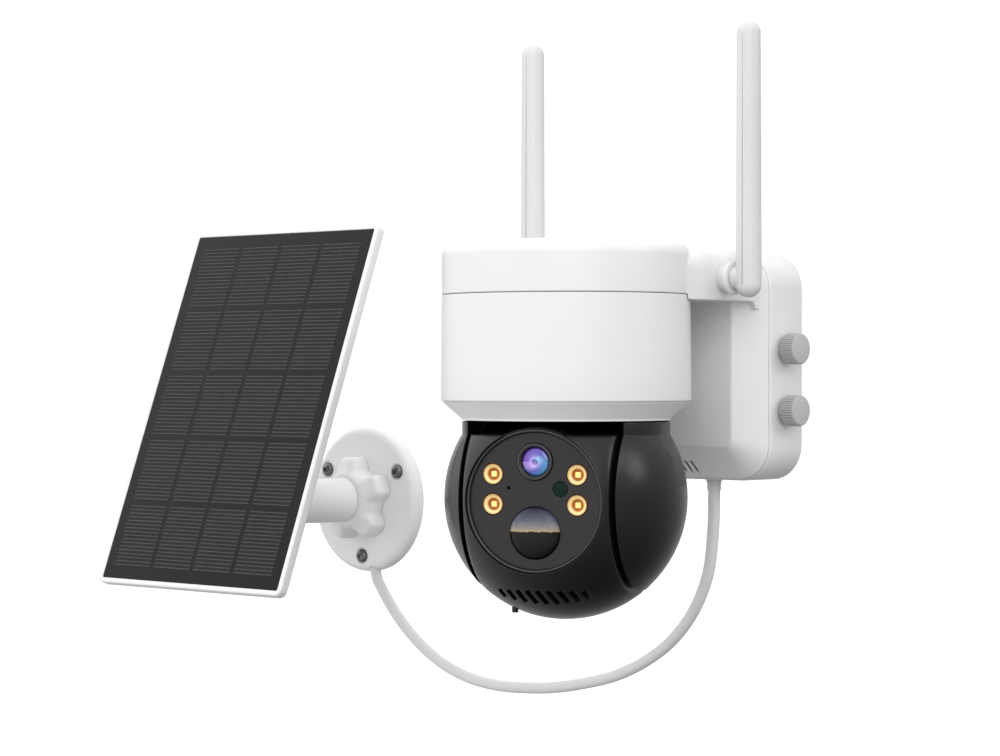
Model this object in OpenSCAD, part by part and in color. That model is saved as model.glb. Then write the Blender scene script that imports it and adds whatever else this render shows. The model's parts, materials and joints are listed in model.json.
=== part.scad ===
// Solar-powered pan and tilt security camera, with a solar panel on its own wall bracket.
// X runs along the wall to the right, -Y points away from the wall and Z is up (mm).
// The origin is the middle of the camera's wall plate, on the wall.

/* [Battery box] */
// Half width of the box
box_half_w = 51.6; // [50:0.1:54]
// Half height of the box
box_half_h = 50.5; // [48:0.1:52]
// Corner radius seen from the front
box_corner_r = 16; // [14:1:18]
// Depth of the straight rear case
slab_depth = 24.5; // [24:0.5:27]
// Size of the bevel around the front face
bevel = 12; // [9:0.5:13]
// Extra height of the bevel along the bottom
bevel_low = 3; // [0:0.5:4]
// Wall thickness of the plastic shells
wall = 2.4; // [2:0.1:2.6]

/* [Hand knobs] */
// Outer radius of a knurled knob
knob_r = 6.85; // [6:0.05:8]
// Length of a knob
knob_len = 9.2; // [8:0.1:12]
// Height of the upper knob
knob_upper_z = 7.8; // [6:0.1:9]
// Height of the lower knob
knob_lower_z = -19.4; // [-21:0.1:-18]

/* [Pan housing] */
// Distance of the pan axis from the wall
pan_reach = 101; // [98:1:110]
// Radius of the housing at its top
housing_r_top = 53.4; // [53:0.1:54]
// Radius of the housing at its bottom
housing_r_bottom = 53.9; // [53.5:0.1:55]
// Height of the seam between the housing and the top cover
seam_z = 30.6; // [29:0.1:32]
// Height of the bottom of the housing
housing_bottom_z = -14.9; // [-15.5:0.1:-14]
// Height of the top of the round cover
cover_top_z = 53; // [51:0.5:56]
// Height of the bottom of the conical skirt
skirt_bottom_z = -23; // [-23.4:0.1:-22.8]

/* [Antennas] */
// Distance of each antenna from the middle
antenna_x = 62; // [61:0.5:64]
// Distance of the antenna pivots from the wall
antenna_reach = 53.2; // [50:0.1:56]
// Height of the antenna pivots
antenna_pivot_z = 38; // [37:0.5:40]
// Height of the antenna tips
antenna_tip_z = 147.7; // [120:0.1:170]

/* [Ball head] */
// Radius of the ball
ball_r = 52.3; // [52:0.1:53]
// Height of the tilt axis
tilt_z = -56.2; // [-57:0.1:-56]
// How far the head is turned to the right at rest
pan_rest = 22.7; // [0:0.1:40]
// Distance from the ball's centre to the face
face_d = 40.6; // [40:0.1:41]
// Half width of the moving head between the ears
head_half_w = 32.2; // [32:0.1:32.4]
// Distance from the middle to the inner side of each ear
ear_in = 34.2; // [34:0.1:34.6]

/* [Solar bracket] */
// Distance of the bracket from the middle of the camera
solar_x = -220.2; // [-240:0.1:-205]
// Height of the bracket's centre
solar_z = -67; // [-80:1:-55]
// Radius of the wall base
base_r = 37; // [36:0.5:40]
// Radius of the arm at the nut
arm_r = 11.3; // [11:0.1:11.6]
// Distance of the panel hinge from the wall
hinge_reach = 87.5; // [84:0.5:100]

/* [Solar panel] */
// Half width of the panel
panel_half_w = 66; // [65:0.5:80]
// Half height of the panel
panel_half_h = 93.4; // [85:0.1:100]
// Height of the panel's centre above its hinge
panel_rise = 43.4; // [40:0.1:45]
// How far the panel leans back at rest
panel_lean = 20.5; // [12:0.1:24]
// Columns of solar cells
cell_cols = 4; // [2:1:6]
// Rows of solar cells
cell_rows = 5; // [2:1:8]

/* [Cable] */
// Diameter of the power cable
cable_d = 5.4; // [4:0.1:5.6]

/* [Hidden] */
$fn = 64;
fit = 0.06;                 // radial running clearance
pan_y = -pan_reach;
front_y = -(slab_depth + bevel);
partition_y = -8;           // back of the partition in the rear case
floor_y = partition_y - wall;
knob_y = -13.5;
stem_r = 2.5;
boss_r = 3.2;
case_bosses = [[40, -36.5], [-40, -36.5], [34, 26], [-34, 26]];
plate_holes = 28;           // half spacing of the wall plate's bolt holes
bolt_hole_r = 2.3;
cell_r = 9.2;
cell_zs = [-28.5, -9.5, 9.5];
gland_at = [14.4, -16.4];

arm_half_w = 48.5;          // arm of the top cover
arm_top_z = 50.5;
arm_bottom_z = 28.4;
arm_round = 9;
arm_fillet = 3.2;
housing_bore_r = 50;
deck_z = -6;
deck_t = 3;
post_r = 46.2;
hub_r = 12;
pan_module = 1;
pan_gear_teeth = 48;
pan_pinion_teeth = 16;
pan_centres = pan_module * (pan_gear_teeth + pan_pinion_teeth) / 2;
pan_gear_z = 0;
gear_t = 5;
motor_z = 8;

tilt_module = 0.8;
tilt_gear_teeth = 36;
tilt_pinion_teeth = 16;
tilt_centres = tilt_module * (tilt_gear_teeth + tilt_pinion_teeth) / 2;
tilt_pinion_at = 100;       // degrees down from the face direction
tilt_gear_x = 29;
tilt_gear_t = 4;
axle_r = 3;
drum_r = 33;                // rear of the head, just below the turntable
shoulder_z = 27.6;          // flat top of the head above the tilt axis
shoulder_back = 128;        // the ball surface ends this far round past the bottom
shell_r = 49.8;
right_wall_x = 25.6;
split_y = 8;
pocket_r = 29.9;
disc_r = 28.7;
neck_r = 44.7;
turntable_r = 40.8;
turntable_z = -22.4;
turntable_t = 4;
lip_drop = 0.8;             // rim under the turntable that closes the gap above the head

lens_v = 16.4;
lamp_u = 18.5;
lamp_vs = [11.1, -1.5];
sensor_at = [11.1, 5.1];
mic_at = [-11.6, 5.3];
motion_v = -13.3;
lens_r = 7.7;
lamp_r = 4.3;
motion_r = 10.9;
vent_count = 9;
vent_pitch = 4.65;
button_at = [-19.6, -10];
button_r = 1.4;

base_t = 7.5;
neck_thread_r = 13.6;       // neck of the base, inside the nut
base_screw_r = 29;
cable_exit = 4;             // height of the cable hole above the wall
cable_turn = 10;            // and its angle from straight down
nut_back = 7.8;
nut_front = 21;
socket_r = 9.5;
arm_end = 72;
eye_half_w = 5;
panel_back_y = -17.6;       // panel depth, measured from the hinge
panel_front_y = -22.4;
frame_t = 2.6;

// Route of the power cable from the bracket base to the gland in the battery box.
cable_route = [[-214.2, -4, -101.1], [-213.6, -4, -104.6], [-210.8, -4.3, -110.1], [-197.3, -5.6, -124.7],
               [-181.8, -6.6, -136.9], [-164.4, -7.5, -146.3], [-145.5, -8.3, -152.2], [-125.8, -9, -154.6],
               [-106, -9.7, -154.3], [-86.3, -10.4, -152.5], [-66.7, -11.1, -148.9], [-47.5, -11.8, -143.9],
               [-29.3, -12.6, -136.1], [-12.6, -13.6, -125.4], [1, -14.6, -111.2], [10.2, -15.6, -93.8],
               [13.7, -16.2, -74.3], [14.4, -16.4, -58], [14.4, -16.4, -45]];

// ---- shared shapes ----

function arc(cx, cy, r, from, to, n = 8) =
    [for (i = [0:n]) [cx + r * cos(from + (to - from) * i / n), cy + r * sin(from + (to - from) * i / n)]];

function round_rect(hw, hh, r) = concat(
    arc(hw - r, hh - r, r, 0, 90), arc(r - hw, hh - r, r, 90, 180),
    arc(r - hw, r - hh, r, 180, 270), arc(hw - r, r - hh, r, 270, 360));

// Rounded slab that stands on the plane y = back and is t thick towards -Y.
module slab(hw, hh, r, back, t)
    translate([0, back, 0]) rotate([90, 0, 0]) linear_extrude(t) polygon(round_rect(hw, hh, r));

// Cylinder along +X that starts at x.
module bar_x(x, len, r, y = 0, z = 0)
    translate([x, y, z]) rotate([0, 90, 0]) cylinder(h = len, r = r);

// Cylinder along -Y that starts at y.
module bar_y(y, len, r, x = 0, z = 0)
    translate([x, y, z]) rotate([90, 0, 0]) cylinder(h = len, r = r);

module box(from, to)
    translate(from) cube(to - from);

// Pan-head screw along Z: the head stands on z = 0 and the shank hangs below.
module screw(head_r, head_h, shank_r, len)
    difference() {
        union() {
            rotate_extrude() polygon(concat([[0, 0], [head_r, 0]],
                [for (a = [15:15:90]) [head_r * cos(a * 0.75), head_h * sin(a)]], [[0, head_h]]));
            translate([0, 0, -len]) cylinder(h = len + 0.1, r = shank_r, $fn = 32);
        }
        for (a = [0, 90]) rotate([0, 0, a])
            translate([-head_r * 0.55, -head_r * 0.12, head_h * 0.45]) cube([head_r * 1.1, head_r * 0.24, head_h]);
    }

function inv(a) = tan(a) * 180 / PI - a;

// Outline of a spur gear with 20 degree involute flanks; thin narrows each tooth, in degrees.
function gear_outline(m, teeth, thin) = let (
    rp = m * teeth / 2, rb = rp * cos(20), tip = rp + 0.85 * m, root = rp - 1.2 * m, steps = 4,
    half = 90 / teeth - thin, start = max(rb, root),
    rs = [for (i = [0:steps]) start + (tip - start) * i / steps],
    ws = [for (r = rs) half + inv(20) - inv(acos(min(1, rb / r)))])
    [for (k = [0:teeth - 1]) let (a = 360 * k / teeth)
        each concat(
            [[root * cos(a - ws[0]), root * sin(a - ws[0])]],
            [for (i = [0:steps]) [rs[i] * cos(a - ws[i]), rs[i] * sin(a - ws[i])]],
            [for (i = [steps:-1:0]) [rs[i] * cos(a + ws[i]), rs[i] * sin(a + ws[i])]],
            [[root * cos(a + ws[0]), root * sin(a + ws[0])]])];

module spur(m, teeth, t, thin)
    linear_extrude(t) polygon(gear_outline(m, teeth, thin));

// ---- battery box ----

module wall_plate() color("gainsboro") difference() {
    union() {
        slab(box_half_w - 3.2, box_half_h - 3.2, box_corner_r - 3.2, 0, 3);
        box([42, -20.5, -27], [46.5, -2.9, 16]);
    }
    for (x = [-1, 1], z = [-1, 1]) bar_y(1, 6, bolt_hole_r, x * plate_holes, z * plate_holes);
    for (z = [knob_upper_z, knob_lower_z]) bar_x(40, 8, stem_r + fit, knob_y, z);
    bar_y(1, 6, 9);
}

module case_boss_holes(r, from, len)
    for (b = case_bosses) bar_y(from, len, r, b[0], b[1]);

module battery_case_rear() color("white") difference() {
    union() {
        difference() {
            slab(box_half_w, box_half_h, box_corner_r, -0.5, slab_depth - 0.5);
            slab(box_half_w - wall, box_half_h - wall, box_corner_r - wall, floor_y, slab_depth);
        }
        box([35.6, -23.4, -32.4], [box_half_w - 1, floor_y + 0.5, 21.4]);
        for (x = [-25, 25], z = [26, 42]) bar_y(floor_y + 0.5, 2.6, 2.5, x, z);
    }
    slab(box_half_w - wall, box_half_h - wall, box_corner_r - wall, 1, 1 - partition_y);
    box([38, -21, -30], [box_half_w - wall, partition_y + 1, 19]);
    for (z = [knob_upper_z, knob_lower_z]) bar_x(box_half_w - 4, 6, stem_r + 0.3, knob_y, z);
    translate([gland_at[0], gland_at[1], -box_half_h - 1]) cylinder(h = 5, r = 4);
    case_boss_holes(1.5, partition_y + 1, 5);
    difference() {
        slab(box_half_w - 0.8, box_half_h - 0.8, box_corner_r - 0.8, -slab_depth + 0.8, 2);
        slab(box_half_w - 1.6, box_half_h - 1.6, box_corner_r - 1.6, -slab_depth + 1, 3);
    }
}

module bevelled(inset, back, depth, narrow, low, r0, r1)
    hull() {
        slab(box_half_w - inset, box_half_h - inset, r0, back, 0.01);
        translate([0, 0, low / 2])
            slab(box_half_w - inset - narrow, box_half_h - inset - narrow - low / 2, r1, back - depth + 0.01, 0.01);
    }

module battery_case_front() color("white") difference() {
    union() {
        difference() {
            bevelled(0, -slab_depth, bevel, bevel, bevel_low, box_corner_r, box_corner_r - bevel);
            bevelled(wall * 1.42, -slab_depth + 0.01, bevel - wall, bevel - wall, bevel_low,
                     box_corner_r - 3.4, 3.4);
        }
        for (b = case_bosses) bar_y(floor_y, (b[1] > 0 ? front_y + 1 : -30) * -1 + floor_y, boss_r, b[0], b[1]);
    }
    case_boss_holes(1.5, floor_y + 1, 13);
    arm_block();
    for (i = [-4:4]) translate([i * 3.3, -29, -44])
        rotate([0, -12, 0]) box([-0.8, -2.3, -8], [0.8, 2.3, 6]);
}

module case_seal() color("dimgray") difference() {
    slab(box_half_w - 0.8, box_half_h - 0.8, box_corner_r - 0.8, -slab_depth + 0.8, 0.8);
    slab(box_half_w - 1.6, box_half_h - 1.6, box_corner_r - 1.6, -slab_depth + 1, 3);
}

module battery_cells() color("steelblue")
    for (z = cell_zs) {
        bar_x(-34, 65, cell_r, floor_y - 11.2, z);
        bar_x(30.9, 0.9, 3, floor_y - 11.2, z);
    }

module battery_holder() color("dimgray") {
    box([-36.2, floor_y - 1.9, -38.5], [34, floor_y, 19.5]);
    box([-36.2, -30.5, -38.5], [-34.2, floor_y - 1.8, 19.5]);
    box([31.9, -30.5, -38.5], [34, floor_y - 1.8, 19.5]);
}

module main_board() color("darkgreen") {
    box([-29.5, floor_y - 3.7, 22], [29.5, floor_y - 2.1, 45]);
    box([-20, floor_y - 6, 27], [-6, floor_y - 3.6, 40]);
    box([2, floor_y - 5.5, 26], [18, floor_y - 3.6, 41]);
    box([22, floor_y - 7, 30], [27, floor_y - 3.6, 38]);
}

module case_screws() color("silver")
    for (b = case_bosses) translate([b[0], partition_y, b[1]]) rotate([-90, 0, 0]) screw(3, 2, 1.4, 13);

module cable_gland() color("gainsboro") translate([gland_at[0], gland_at[1], -box_half_h]) difference() {
    union() {
        cylinder(h = 6, r = 3.95);
        translate([0, 0, wall]) cylinder(h = 3, r = 5.5, $fn = 6);
    }
    translate([0, 0, -1]) cylinder(h = 9, r = cable_d / 2 + 0.1);
}

// Knurled hand knob whose stem screws into the side of the wall plate.
module hand_knob(z) color("whitesmoke") translate([0, knob_y, z]) {
    translate([box_half_w + 1.5, 0, 0]) rotate([0, 90, 0]) linear_extrude(knob_len - 1.9)
        polygon([for (i = [0:71]) (knob_r - (i % 2) * 0.5) * [cos(i * 5), sin(i * 5)]]);
    bar_x(box_half_w + knob_len - 0.5, 0.5, knob_r - 0.4);
    bar_x(38.3, box_half_w + 2 - 38.3, stem_r);
    bar_x(47, 1, 3.5);
}

module knob_upper() hand_knob(knob_upper_z);
module knob_lower() hand_knob(knob_lower_z);

// ---- top cover and pan housing ----

// Arm outline seen along Y, moved inwards by t.
module arm_profile(t)
    polygon(concat([[arm_half_w - t, arm_bottom_z + t]],
        arc(arm_half_w - arm_round, arm_top_z - arm_round, arm_round - t, 0, 90),
        arc(arm_round - arm_half_w, arm_top_z - arm_round, arm_round - t, 90, 180),
        [[t - arm_half_w, arm_bottom_z + t]]));

// Outer form of the arm, from the battery box to the pan axis, with its fillets at the box.
module arm_block() {
    translate([0, -slab_depth, 0]) rotate([90, 0, 0]) linear_extrude(pan_reach - slab_depth) arm_profile(0);
    for (side = [-1, 1]) translate([side * (arm_half_w - 3.5), 0, 0]) rotate([90, 0, 90])
        linear_extrude(7, center = true) polygon(concat(
            [[-slab_depth, arm_bottom_z + 1], [-slab_depth, arm_bottom_z - arm_fillet]],
            [for (a = [0:10:90]) [-slab_depth - 6 - arm_fillet * (1 - cos(a)), arm_bottom_z - arm_fillet * (1 - sin(a))]],
            [[-slab_depth - 6 - arm_fillet, arm_bottom_z + 1]]));
}

module top_cover() color("white") difference() {
    union() {
        translate([0, pan_y, seam_z]) rotate_extrude() polygon(concat([[0, 0], [housing_r_top, 0]],
            arc(housing_r_top - 6, cover_top_z - seam_z - 6, 6, 0, 90), [[0, cover_top_z - seam_z]]));
        arm_block();
    }
    translate([0, pan_y, seam_z - 1]) cylinder(h = cover_top_z - seam_z - wall + 1, r = housing_bore_r);
    translate([0, pan_y, seam_z - 10]) cylinder(h = 10, r = housing_r_top + 0.3);
    translate([0, -slab_depth - wall, 0]) rotate([90, 0, 0])
        linear_extrude(pan_reach - slab_depth - 10) arm_profile(wall);
}

module pan_housing() color("white") translate([0, pan_y, 0]) {
    difference() {
        translate([0, 0, housing_bottom_z])
            cylinder(h = seam_z - housing_bottom_z, r1 = housing_r_bottom, r2 = housing_r_top, $fn = 128);
        translate([0, 0, housing_bottom_z + wall]) cylinder(h = 60, r = housing_bore_r);
        translate([0, 0, housing_bottom_z - 1]) cylinder(h = 6, r = 42.6);
    }
    difference() {
        for (a = [45:90:315]) rotate([0, 0, a]) translate([post_r, 0, housing_bottom_z + 1])
            cylinder(h = deck_z - housing_bottom_z - 1, r = 3, $fn = 32);
        for (a = [45:90:315]) rotate([0, 0, a]) translate([post_r, 0, deck_z - 6])
            cylinder(h = 7, r = 1.3, $fn = 32);
    }
}

module skirt_ring() color("lightgray") translate([0, pan_y, skirt_bottom_z]) difference() {
    cylinder(h = housing_bottom_z - skirt_bottom_z, r1 = neck_r + 0.2, r2 = housing_r_bottom - 0.8, $fn = 128);
    translate([0, 0, -1]) cylinder(h = 20, r = turntable_r + 1);
}

module motor_deck() color("gray") translate([0, pan_y, deck_z]) difference() {
    union() {
        cylinder(h = deck_t, r = housing_bore_r - 0.2);
        for (x = [-17.5, 17.5]) translate([x, pan_centres, 1]) cylinder(h = motor_z - deck_z - 1, r = 3, $fn = 32);
    }
    translate([0, 0, -1]) cylinder(h = 6, r = 17);
    for (a = [45:90:315]) rotate([0, 0, a]) translate([post_r, 0, -1]) cylinder(h = 6, r = 1.3, $fn = 32);
}

module deck_screws() color("silver")
    for (a = [45:90:315]) translate([0, pan_y, 0]) rotate([0, 0, a])
        translate([post_r, 0, deck_z + deck_t]) screw(2.6, 1.8, 1.2, 8);

module pan_motor() color("silver") translate([0, pan_y + pan_centres, motor_z]) difference() {
    union() {
        translate([0, 0, 1]) cylinder(h = 18, r = 14);
        cylinder(h = 1.2, r = 14);
        box([-21, -3.5, 0], [21, 3.5, 1.2]);
    }
    translate([0, 0, -1]) cylinder(h = 8, r = 1.6, $fn = 32);
}

module pan_pinion() color("goldenrod") translate([0, pan_y + pan_centres, pan_gear_z]) {
    rotate([0, 0, 90 + 180 / pan_pinion_teeth]) spur(pan_module, pan_pinion_teeth, gear_t, 0.9);
    translate([0, 0, 1]) cylinder(h = motor_z + 4, r = 1.5, $fn = 32);
}

module pan_bearing() color("silver") translate([0, pan_y, deck_z - 2]) difference() {
    cylinder(h = pan_gear_z - deck_z + 1.9, r = 17);
    translate([0, 0, -1]) cylinder(h = 12, r = hub_r + fit);
}

// ---- antennas ----

module antenna_collars() color("whitesmoke")
    for (side = [-1, 1]) mirror([side < 0 ? 1 : 0, 0, 0]) difference() {
        translate([arm_half_w, -antenna_reach, antenna_pivot_z]) rotate([0, 90, 0]) rotate_extrude()
            polygon([[0, 0], [5.2, 0], [7.3, 5.4], [7.3, antenna_x - arm_half_w - 7.8],
                     [6.7, antenna_x - arm_half_w - 7.2], [0, antenna_x - arm_half_w - 7.2]]);
        bar_x(arm_half_w + 1.5, 9, 3 + fit, -antenna_reach, antenna_pivot_z);
    }

// Right antenna: a tapered rod with round ends and a pivot pin that points inwards.
module antenna() color("white") translate([0, -antenna_reach, antenna_pivot_z]) {
    translate([antenna_x, 0, 0]) rotate_extrude($fn = 48) polygon(concat(
        arc(0, -3.1, 5.5, -90, 0, 6),
        arc(0, antenna_tip_z - antenna_pivot_z - 5.1, 5.1, 0, 90, 6)));
    bar_x(antenna_x - 6.8, 3, 5.2);
    bar_x(arm_half_w + 2, antenna_x - arm_half_w - 4, 3);
}

module antenna_right() antenna();
module antenna_left() mirror([1, 0, 0]) antenna();

// ---- yoke: turns about the pan axis ----

module at_pan() translate([0, pan_y, 0]) rotate([0, 0, pan_rest]) children();
module at_tilt() translate([0, pan_y, tilt_z]) rotate([0, 0, pan_rest]) children();

// Ball with the neck that rises to the skirt.
module ball_and_neck() intersection() {
    union() {
        sphere(ball_r, $fn = 128);
        translate([0, 0, 10]) cylinder(h = 40, r = neck_r, $fn = 128);
    }
    box([-60, -60, -60], [60, 60, skirt_bottom_z - 0.5 - tilt_z]);
}

module yoke() color("black") difference() {
    union() {
        at_pan() translate([0, 0, turntable_z]) cylinder(h = turntable_t, r = turntable_r);
        at_pan() difference() {
            translate([0, 0, turntable_z - lip_drop]) cylinder(h = 3, r = turntable_r);
            translate([0, 0, turntable_z - 3]) cylinder(h = 6, r = turntable_r - 3.6);
        }
        at_pan() translate([0, 0, turntable_z + 1]) cylinder(h = motor_z - turntable_z - 1, r = hub_r);
        at_tilt() for (side = [-1, 1]) intersection() {
            union() {
                ball_and_neck();
                cylinder(h = turntable_z + turntable_t - tilt_z, r = turntable_r);
            }
            box([side > 0 ? ear_in : -ear_in - 3, -60, -60], [side > 0 ? ear_in + 3 : -ear_in, 60, 60]);
        }
    }
    at_pan() translate([0, 0, turntable_z - 1]) cylinder(h = 40, r = 8);
    at_tilt() bar_x(-45, 90, 5);
}

module ear_cover(side) color("black") at_tilt() difference() {
    intersection() {
        ball_and_neck();
        box([side > 0 ? ear_in + 3 : -60, -60, -60], [side > 0 ? 60 : -ear_in - 3, 60, 60]);
    }
    intersection() {
        sphere(shell_r);
        box([side > 0 ? ear_in + 2.9 : -60, -60, -60], [side > 0 ? 60 : -ear_in - 2.9, 60, 24]);
    }
}

module left_ear_cover() ear_cover(-1);
module right_ear_cover() ear_cover(1);

module pan_gear() color("ivory") at_pan() translate([0, 0, pan_gear_z]) difference() {
    rotate([0, 0, 90 - pan_rest]) spur(pan_module, pan_gear_teeth, gear_t, 0.3);
    translate([0, 0, -1]) cylinder(h = 9, r = hub_r);
}

module retaining_ring() color("silver") at_pan() translate([0, 0, gear_t]) difference() {
    cylinder(h = 1.6, r = 15);
    translate([0, 0, -1]) cylinder(h = 4, r = hub_r);
}

module tilt_bearings() color("silver") at_tilt() for (side = [-1, 1]) mirror([side < 0 ? 1 : 0, 0, 0]) difference() {
    bar_x(ear_in - 0.3, 3.8, 5);
    bar_x(ear_in - 2, 8, axle_r + fit);
}

// Fixed gear on the right ear; the pinion in the head rolls round it.
module tilt_gear() color("ivory") at_tilt() difference() {
    union() {
        translate([tilt_gear_x, 0, 0]) rotate([0, 90, 0]) rotate([0, 0, tilt_pinion_at - 90])
            spur(tilt_module, tilt_gear_teeth, tilt_gear_t, 0.45);
        difference() {
            bar_x(tilt_gear_x + 2, ear_in - tilt_gear_x - 2, 9);
            bar_x(ear_in - 0.3, 3, 5);
        }
    }
    bar_x(tilt_gear_x - 1, 20, axle_r + 0.4);
}

// ---- head: turns about the tilt axis ----

// Side outline of the ball's front and bottom: flat on top, and open behind the tilt axis.
module ball_fan(x, w)
    translate([x, 0, 0]) rotate([90, 0, 90]) linear_extrude(w)
        polygon(concat([[0, 0], [0, shoulder_z], [-86, shoulder_z]],
            [for (i = [0:8]) 90 * [-cos(shoulder_back * i / 8), -sin(shoulder_back * i / 8)]]));

module head_solid() intersection() {
    sphere(ball_r, $fn = 128);
    union() {
        ball_fan(-head_half_w, 2 * head_half_w);
        bar_x(-head_half_w, 2 * head_half_w, drum_r);
    }
}

module head_cavity() intersection() {
    sphere(shell_r);
    union() {
        translate([0, -0.49 * wall, -wall]) ball_fan(wall - head_half_w, right_wall_x + head_half_w - wall);
        bar_x(wall - head_half_w, right_wall_x + head_half_w - wall, drum_r - wall);
    }
}

function pinion_yz() = tilt_centres * [-cos(tilt_pinion_at), -sin(tilt_pinion_at)];

module head_cuts() {
    bar_y(-face_d + 4, 40, pocket_r);
    bar_y(-face_d + 9, 10, pocket_r - 2.4);
    bar_x(tilt_gear_x - 1, 20, 16);
    bar_x(tilt_gear_x - 1, 20, 8, pinion_yz()[0], pinion_yz()[1]);
    bar_x(right_wall_x - 1, 6, 1.7, pinion_yz()[0], pinion_yz()[1]);
    bar_x(-50, 100, axle_r);
    translate([button_at[0], button_at[1], -60]) cylinder(h = 22, r = button_r + 0.1, $fn = 32);
    for (i = [0:vent_count - 1]) let (k = i - (vent_count - 1) / 2)
        translate([k * vent_pitch + 0.45, -42, -40.5]) rotate([0, -22, 0])
            box([-1.2, -14, 0.16 * k * k - 3.4], [1.2, 20, 3]);
}

head_screw_xz = [[-28.2, 16], [28.7, 16.8], [-28.2, -16]];

module head_front_shell() color("black") at_tilt() difference() {
    union() {
        difference() {
            head_solid();
            head_cavity();
        }
        intersection() {
            sphere(ball_r - 0.5);
            bar_y(-face_d + 7, 12, pocket_r + 2.1);
            box([-head_half_w, -60, -40], [head_half_w, 0, 30.4]);
        }
        bar_x(wall / 2 - head_half_w, 8, 6);
        for (p = [head_screw_xz[0], head_screw_xz[2]]) bar_y(split_y, 12, 3, p[0], p[1]);
    }
    head_cuts();
    box([-60, split_y, -60], [60, 60, 60]);
    for (p = head_screw_xz) bar_y(split_y + 1, 11, 1.25, p[0], p[1]);
}

module head_rear_cover() color("black") at_tilt() difference() {
    union() {
        difference() {
            head_solid();
            head_cavity();
        }
        for (p = [head_screw_xz[0], head_screw_xz[2]]) bar_y(26.5, 18.5, 3, p[0], p[1]);
    }
    head_cuts();
    box([-60, -60, -60], [60, split_y, 60]);
    for (p = head_screw_xz) {
        bar_y(30, 32, 1.25, p[0], p[1]);
        bar_y(40, 15, 2.7, p[0], p[1]);
    }
}

module head_screws() color("silver") at_tilt()
    for (p = head_screw_xz) translate([p[0], 25, p[1]]) rotate([-90, 0, 0]) screw(2.4, 1.6, 1.2, 26);

module face_plate() color("dimgray") at_tilt() difference() {
    bar_y(-face_d + 2.6, 2.6, disc_r);
    bar_y(-face_d + 5, 9, lens_r + 0.1, 0, lens_v);
    for (u = [-lamp_u, lamp_u], v = lamp_vs) bar_y(-face_d + 5, 9, lamp_r + 0.1, u, v);
    bar_y(-face_d + 5, 9, 3.2, sensor_at[0], sensor_at[1]);
    bar_y(-face_d + 5, 9, 0.7, mic_at[0], mic_at[1]);
    bar_y(-face_d + 5, 9, motion_r + 0.1, 0, motion_v);
}

module face_bezel() color("gray") at_tilt() translate([0, -face_d + 4, 0]) rotate([90, 0, 0])
    rotate_extrude() polygon([[disc_r, 0], [pocket_r, 0], [pocket_r, 5.4], [disc_r + 0.4, 5.4], [disc_r, 4.8]]);

module lens_barrel() color("black") at_tilt() translate([0, -face_d + 7.5, lens_v]) rotate([90, 0, 0])
    rotate_extrude() polygon([[0, 0], [lens_r, 0], [lens_r, 7.9], [lens_r - 0.5, 8.4], [lens_r - 1.2, 8.4],
                              [lens_r - 1.5, 6], [lens_r - 1.5, 3], [0, 3]]);

module lens_glass() color("darkslateblue") at_tilt() translate([0, -face_d + 4.4, lens_v]) rotate([90, 0, 0])
    rotate_extrude() polygon(concat([[0, 0], [lens_r - 1.6, 0]],
        [for (a = [0:15:90]) [(lens_r - 1.6) * cos(a), 1.6 + 1.6 * sin(a)]]));

module lamp_reflectors() color("gold") at_tilt()
    for (u = [-lamp_u, lamp_u], v = lamp_vs) translate([u, -face_d + 4.5, v]) rotate([90, 0, 0])
        rotate_extrude() polygon([[0, 0], [lamp_r, 0], [lamp_r, 4.7], [lamp_r - 0.5, 4.7], [1.9, 1], [0, 1]]);

module lamp_chips() color("khaki") at_tilt()
    for (u = [-lamp_u, lamp_u], v = lamp_vs) translate([u, 0, v])
        box([-1.1, -face_d + 2.9, -1.1], [1.1, -face_d + 3.5, 1.1]);

module motion_dome() color("black") at_tilt() translate([0, -face_d + 3, motion_v]) rotate([90, 0, 0])
    rotate_extrude() polygon(concat([[0, 0], [motion_r, 0]],
        [for (a = [0:10:90]) [motion_r * cos(a), 2.8 + 3.6 * sin(a)]]));

module light_sensor() color("darkgreen") at_tilt()
    bar_y(-face_d + 3, 2.7, 3.15, sensor_at[0], sensor_at[1]);

module camera_board() color("darkgreen") at_tilt() {
    box([-22, -face_d + 7.8, -24], [22, -face_d + 9.4, 22]);
    box([-6, -face_d + 9.3, -19], [6, -face_d + 11, -8]);
    box([8, -face_d + 9.3, 4], [18, -face_d + 11, 14]);
}

module speaker() color("gray") at_tilt() rotate([152, 0, 0]) translate([0, 0, 39.5]) {
    cylinder(h = 5, r = 11.5);
    translate([0, 0, -3]) cylinder(h = 3.5, r = 6);
}

module tilt_motor() color("silver") at_tilt() difference() {
    bar_x(10, right_wall_x - 10, 9.5, pinion_yz()[0], pinion_yz()[1]);
    bar_x(17, 12, 1.6, pinion_yz()[0], pinion_yz()[1]);
}

module axle_pins() color("silver") at_tilt() {
    bar_x(-ear_in - 4.6, ear_in + 4.6 - 25, axle_r);
    bar_x(19, ear_in + 4.6 - 19, axle_r);
    bar_x(-ear_in - 4.8, 1, axle_r + 1.4);
    bar_x(ear_in + 3.8, 1, axle_r + 1.4);
}

module tilt_pinion() color("goldenrod") at_tilt()
    translate([tilt_gear_x, pinion_yz()[0], pinion_yz()[1]]) rotate([0, 90, 0]) {
        rotate([0, 0, tilt_pinion_at - 90 + 180 / tilt_pinion_teeth])
            spur(tilt_module, tilt_pinion_teeth, tilt_gear_t, 1.1);
        translate([0, 0, -11]) cylinder(h = 13, r = 1.5, $fn = 32);
    }

module reset_button() color("black") at_tilt() translate([button_at[0], button_at[1], 0]) {
    translate([0, 0, -49.4]) cylinder(h = 6.8, r = button_r, $fn = 32);
    translate([0, 0, -42.7]) cylinder(h = 0.8, r = 2.2, $fn = 32);
}

// ---- solar bracket ----

module at_bracket() translate([solar_x, 0, solar_z]) rotate([90, 0, 0]) children();

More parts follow.
